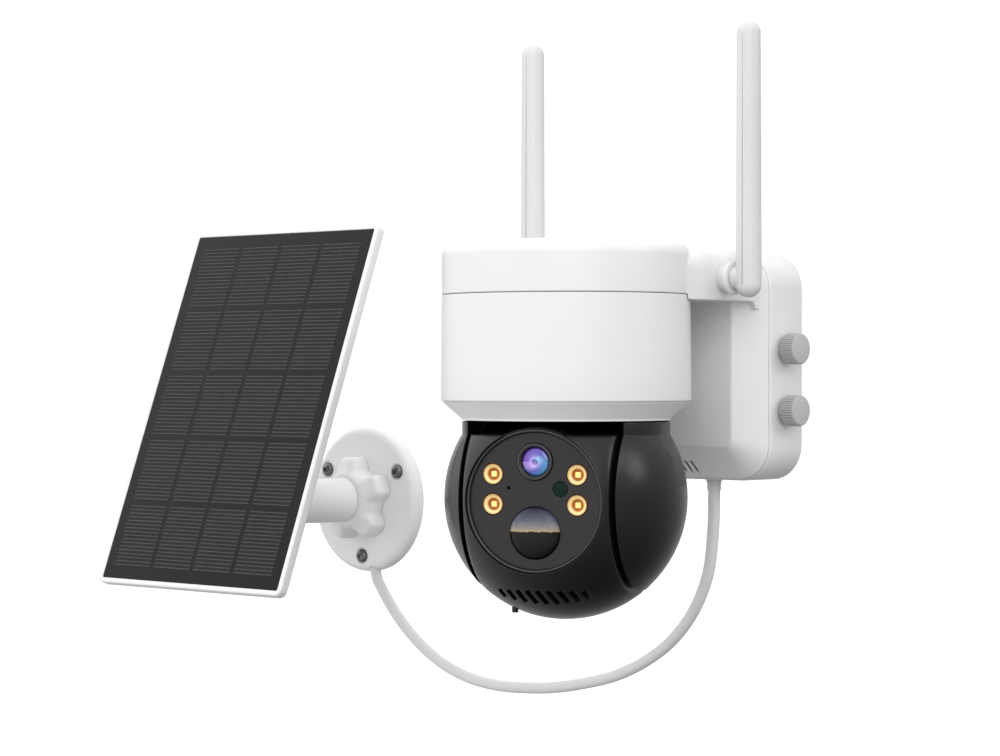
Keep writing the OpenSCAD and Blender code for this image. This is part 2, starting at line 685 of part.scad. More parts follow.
module solar_base() color("white") at_bracket() difference() {
        rotate_extrude($fn = 128) polygon([[0, 0], [base_r, 0], [base_r, 1.2], [base_r - 3.2, base_t], [neck_thread_r, base_t],
                                 [neck_thread_r, 16.8], [neck_thread_r - 0.6, 17.4], [0, 17.4]]);
    translate([0, 0, 4]) cylinder(h = 20, r = socket_r + fit);
    translate([0, 0, 4]) cylinder(h = 4, r = 12.1);
    for (a = [30:120:270]) rotate([0, 0, a]) translate([base_screw_r, 0, -1]) cylinder(h = 20, r = 2.1);
    rotate([0, 0, cable_turn]) translate([0, -30, cable_exit]) rotate([90, 0, 0])
        cylinder(h = 20, r = cable_d / 2 + 0.1, $fn = 32);
}

module base_screws() color("silver") at_bracket()
    for (a = [30:120:270]) rotate([0, 0, a]) translate([base_screw_r, 0, base_t]) screw(3.3, 2.6, 2, base_t - 0.3);

// Five-lobed clamping nut on the neck of the base.
module clamp_nut() color("white") at_bracket() difference() {
    union() {
        translate([0, 0, nut_back]) linear_extrude(9)
            polygon([for (a = [0:3:357]) (18.6 + 3 * cos(5 * (a - 23))) * [cos(a), sin(a)]]);
        translate([0, 0, nut_back + 8.9]) linear_extrude(2)
            polygon([for (a = [0:3:357]) (16.8 + 1.8 * cos(5 * (a - 23))) * [cos(a), sin(a)]]);
        translate([0, 0, nut_back + 9]) cylinder(h = nut_front - nut_back - 9, r1 = 15, r2 = arm_r + 1.6);
    }
    translate([0, 0, nut_back - 1]) cylinder(h = 18.8 - nut_back, r = neck_thread_r + fit);
    translate([0, 0, nut_back]) cylinder(h = 20, r = socket_r + 0.4);
}

// Arm that swivels in the base; its flange is held in the socket.
module bracket_arm() color("white") at_bracket() difference() {
    union() {
        translate([0, 0, 5]) cylinder(h = 2.6, r = 11.8);
        translate([0, 0, 4.6]) cylinder(h = 18, r = socket_r);
        translate([0, 0, nut_front + 0.3]) cylinder(h = arm_end - nut_front - 0.3, r1 = arm_r, r2 = arm_r - 0.8);
        translate([0, 0, arm_end - 0.5]) cylinder(h = 2.5, r1 = arm_r - 0.8, r2 = arm_r - 3);
        box([-eye_half_w, -6.5, arm_end - 2], [eye_half_w, 6.5, hinge_reach]);
        translate([0, 0, hinge_reach]) bar_x(-eye_half_w, 2 * eye_half_w, 6.5);
    }
    translate([0, 0, 3]) cylinder(h = arm_end - 10, r = 5);
    translate([0, 0, hinge_reach]) bar_x(-10, 20, 3 + fit);
}

// ---- solar panel: built upright around its hinge, then leaned back ----

module at_panel() translate([solar_x, -hinge_reach, solar_z]) rotate([-panel_lean, 0, 0]) children();
module panel_slab(inset, r, back, t)
    translate([0, 0, panel_rise]) slab(panel_half_w - inset, panel_half_h - inset, r, back, t);

module panel_frame() color("white") at_panel() difference() {
    panel_slab(0, 3.6, panel_back_y, panel_back_y - panel_front_y);
    panel_slab(frame_t, 0.9, panel_back_y + 1, 20);
}

module panel_glass() color("midnightblue") at_panel() panel_slab(frame_t, 0.9, panel_front_y + 2.1, 1.8);

// Backing sheet with the raised cells on it.
module cell_sheet() color("black") at_panel() {
    panel_slab(frame_t + 0.3, 0.8, panel_front_y + 2.9, 0.5);
    cell_w = (2 * (panel_half_w - frame_t) - 8) / cell_cols;
    cell_h = (2 * (panel_half_h - frame_t) - 8) / cell_rows;
    for (i = [0:cell_cols - 1], j = [0:cell_rows - 1])
        translate([(i - (cell_cols - 1) / 2) * cell_w, panel_front_y + 2.5, panel_rise + (j - (cell_rows - 1) / 2) * cell_h])
            box([1.1 - cell_w / 2, -0.3, 1 - cell_h / 2], [cell_w / 2 - 1.1, 0, cell_h / 2 - 1]);
}

module panel_back() color("whitesmoke") at_panel() panel_slab(frame_t, 0.9, panel_back_y, 1.8);

module junction_box() color("whitesmoke") at_panel() difference() {
    translate([0, 0, 42]) slab(20, 14, 3, panel_back_y + 9, 9);
    translate([0, 0, 42]) slab(18, 12, 1.5, panel_back_y + 7, 8);
}

module hinge_bracket() color("whitesmoke") at_panel() difference() {
    union() {
        slab(18, 15, 4, panel_back_y + 2.6, 2.6);
        for (side = [-1, 1]) {
            x = side > 0 ? eye_half_w + 0.4 : -eye_half_w - 4.4;
            box([x, panel_back_y + 2, -6.5], [x + 4, 0, 6.5]);
            bar_x(x, 4, 6.5);
        }
    }
    bar_x(-20, 40, 3);
}

module hinge_bolt() color("silver") at_panel() {
    bar_x(-eye_half_w - 4.6, 2 * eye_half_w + 9.2, 3);
    bar_x(eye_half_w + 4.5, 2.6, 5);
    translate([-eye_half_w - 8.4, 0, 0]) rotate([0, 90, 0]) cylinder(h = 4, r = 5.2, $fn = 6);
}

// ---- cable ----

// Smooth curve through the route's points.
function curve_point(p, i, t) = let (
    a = p[max(i - 1, 0)], b = p[i], c = p[i + 1], d = p[min(i + 2, len(p) - 1)])
    0.5 * (2 * b + (c - a) * t + (2 * a - 5 * b + 4 * c - d) * t * t + (3 * b - a - 3 * c + d) * t * t * t);

cable_points = concat([for (i = [0:len(cable_route) - 2], t = [0, 0.5]) curve_point(cable_route, i, t)],
                      [cable_route[len(cable_route) - 1]]);

module power_cable() color("white")
    for (i = [0:len(cable_points) - 2]) hull() {
        translate(cable_points[i]) sphere(d = cable_d, $fn = 14);
        translate(cable_points[i + 1]) sphere(d = cable_d, $fn = 14);
    }

wall_plate();
battery_case_rear();
battery_case_front();
case_seal();
battery_cells();
battery_holder();
main_board();
case_screws();
cable_gland();
knob_upper();
knob_lower();
top_cover();
pan_housing();
skirt_ring();
motor_deck();
deck_screws();
pan_motor();
pan_bearing();
pan_pinion();
antenna_collars();
antenna_left();
antenna_right();
yoke();
left_ear_cover();
right_ear_cover();
pan_gear();
retaining_ring();
tilt_bearings();
tilt_gear();
head_front_shell();
head_rear_cover();
head_screws();
face_plate();
face_bezel();
lens_barrel();
lens_glass();
lamp_reflectors();
lamp_chips();
motion_dome();
light_sensor();
camera_board();
speaker();
tilt_motor();
axle_pins();
tilt_pinion();
reset_button();
solar_base();
base_screws();
clamp_nut();
bracket_arm();
panel_frame();
panel_glass();
cell_sheet();
panel_back();
junction_box();
hinge_bracket();
hinge_bolt();
power_cable();
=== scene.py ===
import json
import math

import bmesh
import bpy
from mathutils import Matrix, Vector


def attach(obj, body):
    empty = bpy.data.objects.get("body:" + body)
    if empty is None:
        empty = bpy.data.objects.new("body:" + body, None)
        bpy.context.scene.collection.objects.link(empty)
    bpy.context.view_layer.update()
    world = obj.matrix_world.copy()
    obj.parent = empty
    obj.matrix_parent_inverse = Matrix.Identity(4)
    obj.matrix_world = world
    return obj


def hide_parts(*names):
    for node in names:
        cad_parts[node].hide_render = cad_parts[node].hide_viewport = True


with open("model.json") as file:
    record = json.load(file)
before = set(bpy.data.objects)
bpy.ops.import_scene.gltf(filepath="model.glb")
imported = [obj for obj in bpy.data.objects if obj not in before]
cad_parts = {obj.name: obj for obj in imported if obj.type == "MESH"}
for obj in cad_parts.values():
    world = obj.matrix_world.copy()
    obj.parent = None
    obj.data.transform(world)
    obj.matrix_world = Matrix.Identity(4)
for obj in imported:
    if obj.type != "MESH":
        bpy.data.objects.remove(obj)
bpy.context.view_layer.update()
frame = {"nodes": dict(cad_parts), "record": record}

# Lengths are in millimetres here, as in the CAD source, and become metres in each mesh.
MM = 0.001
NODES = frame["nodes"]

# ---- sizes, the same as in the CAD source ----

BOX_HALF_W, BOX_HALF_H, BOX_CORNER = 51.6, 50.5, 16
SLAB_DEPTH, BEVEL, BEVEL_LOW, WALL = 24.5, 12, 3, 2.4
FRONT_Y = -(SLAB_DEPTH + BEVEL)
PARTITION_Y = -8
KNOB_Y, KNOB_R, KNOB_LEN, STEM_R = -13.5, 6.85, 9.2, 2.5
KNOB_ZS = {"upper": 7.8, "lower": -19.4}
PLATE_HOLES, BOLT_HOLE_R = 28, 2.3
SLOT_COUNT, SLOT_PITCH, SLOT_LEAN = 9, 3.3, -12
PAN_Y, PAN_REST = -101, 22.7
HOUSING_R_TOP, HOUSING_R_BOTTOM, HOUSING_BORE = 53.4, 53.9, 50
SEAM_Z, HOUSING_BOTTOM_Z, COVER_TOP_Z, SKIRT_BOTTOM_Z, CAP_ROUND = 30.6, -14.9, 53, -23, 6
ARM_HALF_W, ARM_TOP_Z, ARM_BOTTOM_Z, ARM_ROUND, ARM_FILLET = 48.5, 50.5, 28.4, 9, 3.2
ANTENNA_X, ANTENNA_Y, ANTENNA_Z, ANTENNA_TIP = 62, -53.2, 38, 147.7
BALL_R, TILT_Z, FACE_D, NECK_R = 52.3, -56.2, 40.6, 44.7
HEAD_HALF_W, EAR_IN, DRUM_R, SHOULDER_Z, SHOULDER_BACK = 32.2, 34.2, 33, 27.6, 128
TURNTABLE_R, TURNTABLE_Z = 40.8, -22.4
POCKET_R, DISC_R = 29.9, 28.7
GEAR_X, PINION_AT, TILT_CENTRES = 28, 100, 20.8
LENS_V, LENS_R, LAMP_U, LAMP_VS, LAMP_R = 16.4, 7.7, 18.5, (11.1, -1.5), 4.3
SENSOR_AT, SENSOR_R, MIC_AT, MOTION_V, MOTION_R = (11.1, 5.1), 3.25, (-11.6, 5.3), -13.3, 10.9
VENT_COUNT, VENT_PITCH, VENT_X, VENT_Z = 9, 4.65, 0.45, -40.5
BUTTON_AT, BUTTON_R = (-19.6, -10), 1.4
HEAD_SCREWS = ((-28.2, 16), (28.7, 16.8), (-28.2, -16))
SOLAR_X, SOLAR_Z, BASE_R, BASE_T = -220.2, -67, 37, 7.5
BASE_SCREW_R, CABLE_TURN, CABLE_OUT = 29, 10, 4
SCREW_SPINS = {30: 20, 150: 65, 270: 8}     # place round the base: how far its cross is turned, in degrees
THREAD_R, NUT_BACK, NUT_FRONT, NUT_PHASE = 13.6, 7.8, 21, 23
ARM_R, ARM_END, HINGE_REACH = 11.3, 72, 87.5
PANEL_W, PANEL_H, PANEL_RISE, PANEL_LEAN = 66, 93.4, 43.4, 20.5
PANEL_BACK_Y, PANEL_FRONT_Y, FRAME_T = -17.6, -22.4, 2.6
CELL_COLS, CELL_ROWS, LINES_PER_CELL = 4, 5, 17
GLAND_AT = (14.4, -16.4)


def shift(x=0, y=0, z=0):
    """Move by this much."""
    return Matrix.Translation((x, y, z))


def turn(degrees, axis="Z"):
    """Rotate about one axis."""
    return Matrix.Rotation(math.radians(degrees), 4, axis)


ALONG = Matrix(((0, 0, 1, 0), (1, 0, 0, 0), (0, 1, 0, 0), (0, 0, 0, 1)))   # outline in y, z; length in x
OUTWARD = turn(90, "X")     # local z points away from the wall
RIGHTWARD = turn(90, "Y")   # local z points along the wall
AT_HOUSING = shift(0, PAN_Y)
AT_PAN = AT_HOUSING @ turn(PAN_REST)
AT_TILT = shift(0, 0, TILT_Z) @ AT_PAN
AT_BRACKET = shift(SOLAR_X, 0, SOLAR_Z) @ OUTWARD
AT_PANEL = shift(SOLAR_X, -HINGE_REACH, SOLAR_Z) @ turn(-PANEL_LEAN, "X")


# ---- shapes ----

def add_object(name, data):
    """A new object in the scene."""
    obj = bpy.data.objects.new(name, data)
    bpy.context.scene.collection.objects.link(obj)
    return obj


def arc(cx, cy, r, start, end, steps=8):
    """Points on an arc, angles in degrees."""
    angles = [math.radians(start + (end - start) * i / steps) for i in range(steps + 1)]
    return [(cx + r * math.cos(a), cy + r * math.sin(a)) for a in angles]


def round_rect(hw, hh, r, steps=10):
    corners = ((hw - r, hh - r, 0), (r - hw, hh - r, 90), (r - hw, r - hh, 180), (hw - r, r - hh, 270))
    return [p for x, y, start in corners for p in arc(x, y, r, start, start + 90, steps)]


def inset(outline, distance):
    """The closed outline moved inwards; it runs anticlockwise."""
    moved = []
    for i, point in enumerate(outline):
        here = Vector(point)
        before = (here - Vector(outline[i - 1])).normalized()
        after = (Vector(outline[(i + 1) % len(outline)]) - here).normalized()
        normal = Vector((-before.y - after.y, before.x + after.x)).normalized()
        reach = distance / max(0.35, normal.dot(Vector((-before.y, before.x))))
        moved.append(tuple(here + normal * reach))
    return moved


def from_mesh(name, mesh):
    """An object from a bmesh in millimetres, closed up and with its normals outwards."""
    bmesh.ops.remove_doubles(mesh, verts=mesh.verts, dist=0.0005)
    bmesh.ops.dissolve_degenerate(mesh, edges=mesh.edges, dist=0.0005)
    bmesh.ops.recalc_face_normals(mesh, faces=mesh.faces)
    mesh.transform(Matrix.Scale(MM, 4))
    data = bpy.data.meshes.new(name)
    mesh.to_mesh(data)
    mesh.free()
    return add_object(name, data)


def add_loft(mesh, rings, place=Matrix(), wrap=False):
    """Skin over rings of points, all of one length; the ends are capped unless they join."""
    rows = [[mesh.verts.new(place @ Vector(p)) for p in ring] for ring in rings]
    pairs = list(zip(rows, rows[1:]))
    if wrap:
        pairs.append((rows[-1], rows[0]))
    for low, high in pairs:
        for i in range(len(low)):
            j = (i + 1) % len(low)
            mesh.faces.new((low[i], low[j], high[j], high[i]))
    if not wrap:
        mesh.faces.new(rows[0][::-1])
        mesh.faces.new(rows[-1])


def loft(name, rings, place=Matrix(), wrap=False):
    mesh = bmesh.new()
    add_loft(mesh, rings, place, wrap)
    return from_mesh(name, mesh)


def cylinder(r, low, high):
    """Profile of a plain round bar or hole."""
    return [(0, low), (r, low), (r, high), (0, high)]


def dome(r, base, rise, start, step):
    """Profile points of a low dome, from near its rim to near its top, in steps of degrees."""
    angles = [math.radians(a) for a in range(start, 91, step)]
    return [(r * math.cos(a), base + rise * math.sin(a)) for a in angles]


def lathe_rings(profile, steps):
    angles = [2 * math.pi * i / steps for i in range(steps)]
    return [[(r * math.cos(a), r * math.sin(a), z) for a in angles] for r, z in profile]


def lathe(name, profile, place=Matrix(), steps=96, wrap=False):
    """Turned part: profile points are (radius, height) along the local z axis."""
    return loft(name, lathe_rings(profile, steps), place, wrap)


def edge_steps(edge, steps=4):
    """Inset and depth of a rounded edge, from the flat end to the side."""
    return [(edge * (1 - math.sin(a)), edge * (1 - math.cos(a)))
            for a in (math.pi / 2 * i / steps for i in range(steps + 1))]


def prism_rings(outline, low, high, edge_low=0.0, edge_high=0.0):
    rings = []
    for inwards, up in edge_steps(edge_low) if edge_low else [(0, 0)]:
        rings.append([(x, y, low + up) for x, y in inset(outline, inwards)])
    for inwards, up in reversed(edge_steps(edge_high)) if edge_high else [(0, 0)]:
        rings.append([(x, y, high - up) for x, y in inset(outline, inwards)])
    return rings


def prism(name, outline, low, high, place=Matrix(), edge_low=0.0, edge_high=0.0):
    """Straight part with the outline in the local xy plane and rounded ends."""
    return loft(name, prism_rings(outline, low, high, edge_low, edge_high), place)


def box_rings(low, high):
    x0, y0, z0 = low
    x1, y1, z1 = high
    return [[(x0, y0, z), (x1, y0, z), (x1, y1, z), (x0, y1, z)] for z in (z0, z1)]


def apply_modifiers(obj):
    depsgraph = bpy.context.evaluated_depsgraph_get()
    made = bpy.data.meshes.new_from_object(obj.evaluated_get(depsgraph))
    obj.modifiers.clear()
    obj.data = made


def combine(obj, tool, operation="DIFFERENCE"):
    """Cut with a tool, or join it, and drop the tool."""
    modifier = obj.modifiers.new("combine", "BOOLEAN")
    modifier.operation = operation
    modifier.solver = "EXACT"
    modifier.object = tool
    apply_modifiers(obj)
    bpy.data.objects.remove(tool)
    return obj


def drill(obj, r, low, high, place, steps=40):
    """Cut a round hole."""
    combine(obj, lathe("drill", cylinder(r, low, high), place, steps))


def smooth(obj, angle=32):
    obj.data.shade_smooth()
    obj.data.set_sharp_from_angle(angle=math.radians(angle))


def piece(obj, body, material, *nodes, angle=32):
    """Finish a piece: its material and shading, the body it rides on and the nodes it stands for."""
    obj.data.materials.clear()
    obj.data.materials.append(MATERIALS[material])
    smooth(obj, angle)
    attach(obj, body)
    if nodes:
        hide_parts(*nodes)
    return obj


def map_disc(obj, place, radius):
    """UV map that spans a round part: its middle is (0.5, 0.5)."""
    to_local = place.inverted()
    layer = obj.data.uv_layers.new(name="disc")
    for loop in obj.data.loops:
        local = to_local @ (obj.data.vertices[loop.vertex_index].co / MM)
        layer.data[loop.index].uv = (0.5 + local.x / radius / 2, 0.5 + local.y / radius / 2)


def face_place(u, v, depth=0.0):
    """Frame of a round part in the face: z points out of the face and y up."""
    return AT_TILT @ shift(u, -FACE_D + depth, v) @ OUTWARD


# ---- camera and cable, which come first ----

CAMERA_AT = (0.76783, -0.97787, -0.00362)
CAMERA_AZIMUTH = 42.601
CAMERA_PITCH = -0.068
CAMERA_LENS = 97.525

camera_data = bpy.data.cameras.new("camera")
camera_data.lens = CAMERA_LENS
camera_data.sensor_width = 36
camera_data.clip_start = 0.05
camera_data.clip_end = 60
camera = add_object("camera", camera_data)
camera.location = CAMERA_AT
camera.rotation_euler = (math.radians(90 + CAMERA_PITCH), 0, math.radians(CAMERA_AZIMUTH))
bpy.context.scene.camera = camera
bpy.context.scene.view_settings.view_transform = "Standard"

CABLE_DIAMETER = 5.4
CABLE_ROUTE = [
    (-214.2, -4, -101.1), (-213.6, -4, -104.6), (-210.8, -4.3, -110.1), (-197.3, -5.6, -124.7),
    (-181.8, -6.6, -136.9), (-164.4, -7.5, -146.3), (-145.5, -8.3, -152.2), (-125.8, -9, -154.6),
    (-106, -9.7, -154.3), (-86.3, -10.4, -152.5), (-66.7, -11.1, -148.9), (-47.5, -11.8, -143.9),
    (-29.3, -12.6, -136.1), (-12.6, -13.6, -125.4), (1, -14.6, -111.2), (10.2, -15.6, -93.8),
    (13.7, -16.2, -74.3), (14.4, -16.4, -58), (14.4, -16.4, -45),
]


def route_line(steps=10):
    """Smooth curve through the route's points, the same as in the CAD source."""
    knots = [Vector(p) for p in CABLE_ROUTE]
    line = []
    for i in range(len(knots) - 1):
        a, b, c, d = knots[max(i - 1, 0)], knots[i], knots[i + 1], knots[min(i + 2, len(knots) - 1)]
        for t in (j / steps for j in range(steps)):
            line.append(0.5 * (2 * b + (c - a) * t + (2 * a - 5 * b + 4 * c - d) * t ** 2
                               + (3 * b - a - 3 * c + d) * t ** 3))
    return line + [knots[-1]]


def tube(name, line, radius, sides=24):
    """Round tube along a line, with rings that don't twist and closed ends."""
    rings = []
    side = Vector((0, 1, 0))
    for i, point in enumerate(line):
        along = (line[min(i + 1, len(line) - 1)] - line[max(i - 1, 0)]).normalized()
        side = (side - along * side.dot(along)).normalized()
        across = along.cross(side)
        angles = [2 * math.pi * k / sides for k in range(sides)]
        rings.append([point + radius * (math.cos(a) * side + math.sin(a) * across) for a in angles])
    return loft(name, rings)


cable_line = route_line()
cable = tube("cable", cable_line, CABLE_DIAMETER / 2)
smooth(cable, 50)
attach(cable, "root")
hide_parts("power_cable")


# ---- materials ----

class Shader:
    """A material with one Principled surface, and short calls for the nodes that feed it."""

    def __init__(self, name, **sockets):
        self.material = bpy.data.materials.new(name)
        self.material.use_nodes = True
        self.tree = self.material.node_tree
        self.surface = self.tree.nodes["Principled BSDF"]
        for socket, value in sockets.items():
            self.surface.inputs[socket.replace("_", " ")].default_value = value

    def node(self, kind, inputs=(), **settings):
        made = self.tree.nodes.new("ShaderNode" + kind)
        for key, value in settings.items():
            setattr(made, key, value)
        for key, value in dict(inputs).items():
            if isinstance(value, bpy.types.NodeSocket):
                self.tree.links.new(value, made.inputs[key])
            else:
                made.inputs[key].default_value = value
        return made

    def link(self, output, socket):
        self.tree.links.new(output, self.surface.inputs[socket])

    def finish(self, colour, roughness, normal):
        """Link what the surface takes and give back the material."""
        sockets = {"Base Color": colour, "Roughness": roughness, "Normal": normal}
        for socket, output in sockets.items():
            if output is not None:
                self.link(output, socket)
        return self.material

    def math(self, operation, a, b=0.0):
        return self.node("Math", {0: a, 1: b}, operation=operation).outputs[0]

    def coords(self, kind="Object"):
        return self.node("TexCoord").outputs[kind]

    def noise(self, scale, detail=2, vector=None, roughness=0.5):
        vector = vector or self.coords()
        inputs = {"Vector": vector, "Scale": scale, "Detail": detail, "Roughness": roughness}
        return self.node("TexNoise", inputs).outputs["Fac"]

    def ramp(self, value, stops, interpolation="LINEAR"):
        made = self.node("ValToRGB", {"Fac": value})
        ramp = made.color_ramp
        ramp.interpolation = interpolation
        while len(ramp.elements) < len(stops):
            ramp.elements.new(0.5)
        for element, (place, colour) in zip(ramp.elements, stops):
            element.position = place
            element.color = (*colour, 1)
        return made.outputs["Color"]

    def mix(self, factor, a, b):
        """Colour a where factor is 0 and colour b where it is 1."""
        made = self.node("MixRGB", {"Fac": factor, "Color1": a, "Color2": b})
        return made.outputs["Color"]

    def spread(self, value, low, high):
        inputs = {"Value": value, "From Min": 0.25, "From Max": 0.75, "To Min": low, "To Max": high}
        return self.node("MapRange", inputs).outputs["Result"]

    def bump(self, height, strength, distance, normal=None):
        inputs = {"Height": height, "Strength": strength, "Distance": distance * MM}
        if normal is not None:
            inputs["Normal"] = normal
        return self.node("Bump", inputs).outputs["Normal"]

    def soft_edges(self, radius):
        return self.node("Bevel", {"Radius": radius * MM}, samples=4).outputs["Normal"]


def scaled(colour, factor):
    return tuple(min(1.0, c * factor) for c in colour)


TINT = 0.03     # how much darker the slow patches of a moulded colour are


def moulded(name, colour, roughness, grain=0.05, grain_scale=1500, edge=0.3, **sockets):
    """Moulded plastic: slow changes of tone, fine grain, uneven gloss and softened edges."""
    shader = Shader(name, **sockets)
    slow = shader.noise(14, 3)
    tone = shader.ramp(slow, [(0.3, scaled(colour, 1 - TINT)), (0.7, colour)])
    fine = shader.noise(grain_scale, 2)
    uneven = shader.noise(60, 4)
    gloss = shader.spread(uneven, roughness - 0.04, roughness + 0.05)
    flow = shader.bump(uneven, 0.10, 0.05, shader.soft_edges(edge))
    return shader.finish(tone, gloss, shader.bump(fine, 0.25, grain, flow))


def metal(name, colour, roughness):
    """Machined metal: brushed streaks in the gloss and a little tone."""
    shader = Shader(name, Metallic=1.0)
    stretch = shader.node("Mapping", {"Vector": shader.coords(), "Scale": (1, 1, 14)})
    brushed = shader.noise(900, 4, stretch.outputs["Vector"])
    tone = shader.ramp(brushed, [(0.3, scaled(colour, 0.82)), (0.7, colour)])
    gloss = shader.spread(brushed, roughness - 0.07, roughness + 0.1)
    return shader.finish(tone, gloss, shader.bump(brushed, 0.15, 0.03, shader.soft_edges(0.15)))


def circuit_board():
    """Solder mask with paler copper runs under it."""
    shader = Shader("circuit_board", Roughness=0.32)
    cells = shader.node("TexBrick", {
        "Vector": shader.coords("Generated"), "Scale": 9.0, "Mortar Size": 0.03,
        "Color1": (0.010, 0.085, 0.035, 1), "Color2": (0.014, 0.10, 0.045, 1),
        "Mortar": (0.04, 0.22, 0.09, 1),
    })
    return shader.finish(cells.outputs["Color"], None, shader.bump(cells.outputs["Fac"], 0.3, 0.05))


def solar_cells():
    """Near-black silicon under a clear laminate."""
    shader = Shader("solar_cells", Specular_IOR_Level=0.16)
    grain = shader.noise(420, 4)
    crystal = shader.node("TexVoronoi", {"Vector": shader.coords(), "Scale": 160.0}).outputs["Distance"]
    base = shader.ramp(grain, [(0.3, (0.0075, 0.0075, 0.0085)), (0.7, (0.0115, 0.0115, 0.0130))])
    return shader.finish(base, shader.spread(crystal, 0.30, 0.44), shader.bump(grain, 0.2, 0.02))


def cell_lines():
    """Thin metal lines printed across the cells."""
    shader = Shader("cell_line", Metallic=0.4, Specular_IOR_Level=0.3)
    grain = shader.noise(500, 3)
    tone = shader.ramp(grain, [(0.3, (0.055, 0.055, 0.057)), (0.7, (0.085, 0.085, 0.088))])
    return shader.finish(tone, shader.spread(grain, 0.34, 0.44), None)


def around(shader):
    """Distance from the middle and share of a full turn on a round part whose UV map spans it."""
    uv = shader.node("SeparateXYZ", {"Vector": shader.coords("UV")})
    x = shader.math("SUBTRACT", uv.outputs["X"], 0.5)
    y = shader.math("SUBTRACT", uv.outputs["Y"], 0.5)
    squares = shader.math("ADD", shader.math("MULTIPLY", x, x), shader.math("MULTIPLY", y, y))
    distance = shader.math("MULTIPLY", shader.math("SQRT", squares), 2.0)
    angle = shader.math("ARCTAN2", y, x)
    share = shader.math("ADD", shader.math("DIVIDE", angle, 2 * math.pi), 0.5)
    return distance, share


def lens_glass():
    """Coated lens with its coating's reflection painted in: colours run round it, with a pale ring of
    painted reflected light, a deep blue rim and a dark middle.
    """
    shader = Shader("lens_glass", Roughness=0.07, Coat_Weight=1.0, Coat_Roughness=0.02)
    distance, share = around(shader)
    wave = shader.noise(260, 3)
    ripple = shader.math("SUBTRACT", wave, 0.5)
    swirl = shader.math("ADD", share, shader.math("MULTIPLY", ripple, 0.18))
    swirl = shader.math("ADD", swirl, shader.math("MULTIPLY", distance, 0.35))
    # painted reflection: the coating's colours, running round the lens
    painted_coating_reflection = shader.ramp(swirl, [
        (0.00, (0.16, 0.05, 0.55)), (0.16, (0.50, 0.22, 0.85)), (0.32, (0.60, 0.42, 0.90)),
        (0.47, (0.10, 0.12, 0.60)), (0.60, (0.03, 0.35, 0.72)), (0.72, (0.10, 0.55, 0.85)),
        (0.86, (0.04, 0.10, 0.55)), (1.00, (0.16, 0.05, 0.55)),
    ])
    uneven = shader.math("ADD", distance, shader.math("MULTIPLY", ripple, 0.25))
    # painted reflection: a bright pale ring of reflected light, over the lens's own dark blue middle and
    # rim
    pale = shader.ramp(uneven, [
        (0.0, (0.005, 0.01, 0.10)), (0.17, (0.01, 0.02, 0.20)), (0.26, (0.70, 0.62, 0.92)),
        (0.40, (0.34, 0.24, 0.70)), (0.60, (0.06, 0.03, 0.34)), (1.0, (0.01, 0.005, 0.10)),
    ])
    body = shader.mix(0.5, painted_coating_reflection, pale)
    rim = shader.ramp(distance, [(0.0, (0, 0, 0)), (0.90, (0, 0, 0)), (1.0, (1, 1, 1))])
    tone = shader.mix(rim, body, (0.010, 0.008, 0.10, 1))
    return shader.finish(tone, None, shader.bump(wave, 0.1, 0.05))


def lamp_gold():
    """Lamp cup: an amber ring inside a cream one."""
    shader = Shader("lamp_gold")
    distance, _ = around(shader)
    tone = shader.ramp(distance, [
        (0.0, (0.55, 0.22, 0.03)), (0.40, (0.40, 0.12, 0.01)), (0.58, (0.44, 0.14, 0.012)),
        (0.68, (0.93, 0.66, 0.26)), (0.80, (0.98, 0.82, 0.46)), (0.90, (0.90, 0.60, 0.22)),
        (0.98, (0.30, 0.12, 0.02)),
    ])
    grain = shader.noise(900, 3)
    return shader.finish(tone, shader.spread(grain, 0.24, 0.34), shader.bump(grain, 0.2, 0.03))


def motion_dome():
    """Dark lens with a painted reflection of sky and horizon: grey-blue above, a thin warm line, near black
    below.
    """
    shader = Shader("motion_dome", Roughness=0.12, Specular_IOR_Level=0.22)
    uv = shader.node("SeparateXYZ", {"Vector": shader.coords("UV")})
    rough = shader.math("MULTIPLY", shader.math("SUBTRACT", shader.noise(260, 3), 0.5), 0.10)
    height = shader.math("ADD", uv.outputs["Y"], rough)
    # painted reflection in the base colour: a sky above a warm horizon line, dark ground below
    painted_sky_reflection = shader.ramp(height, [
        (0.00, (0.002, 0.002, 0.002)), (0.46, (0.006, 0.007, 0.006)), (0.52, (0.004, 0.003, 0.002)),
        (0.54, (0.42, 0.33, 0.19)), (0.58, (0.26, 0.24, 0.21)), (0.74, (0.09, 0.10, 0.14)),
        (0.97, (0.012, 0.013, 0.03)),
    ])
    return shader.finish(painted_sky_reflection, None, shader.bump(shader.noise(60, 2), 0.05, 0.05))


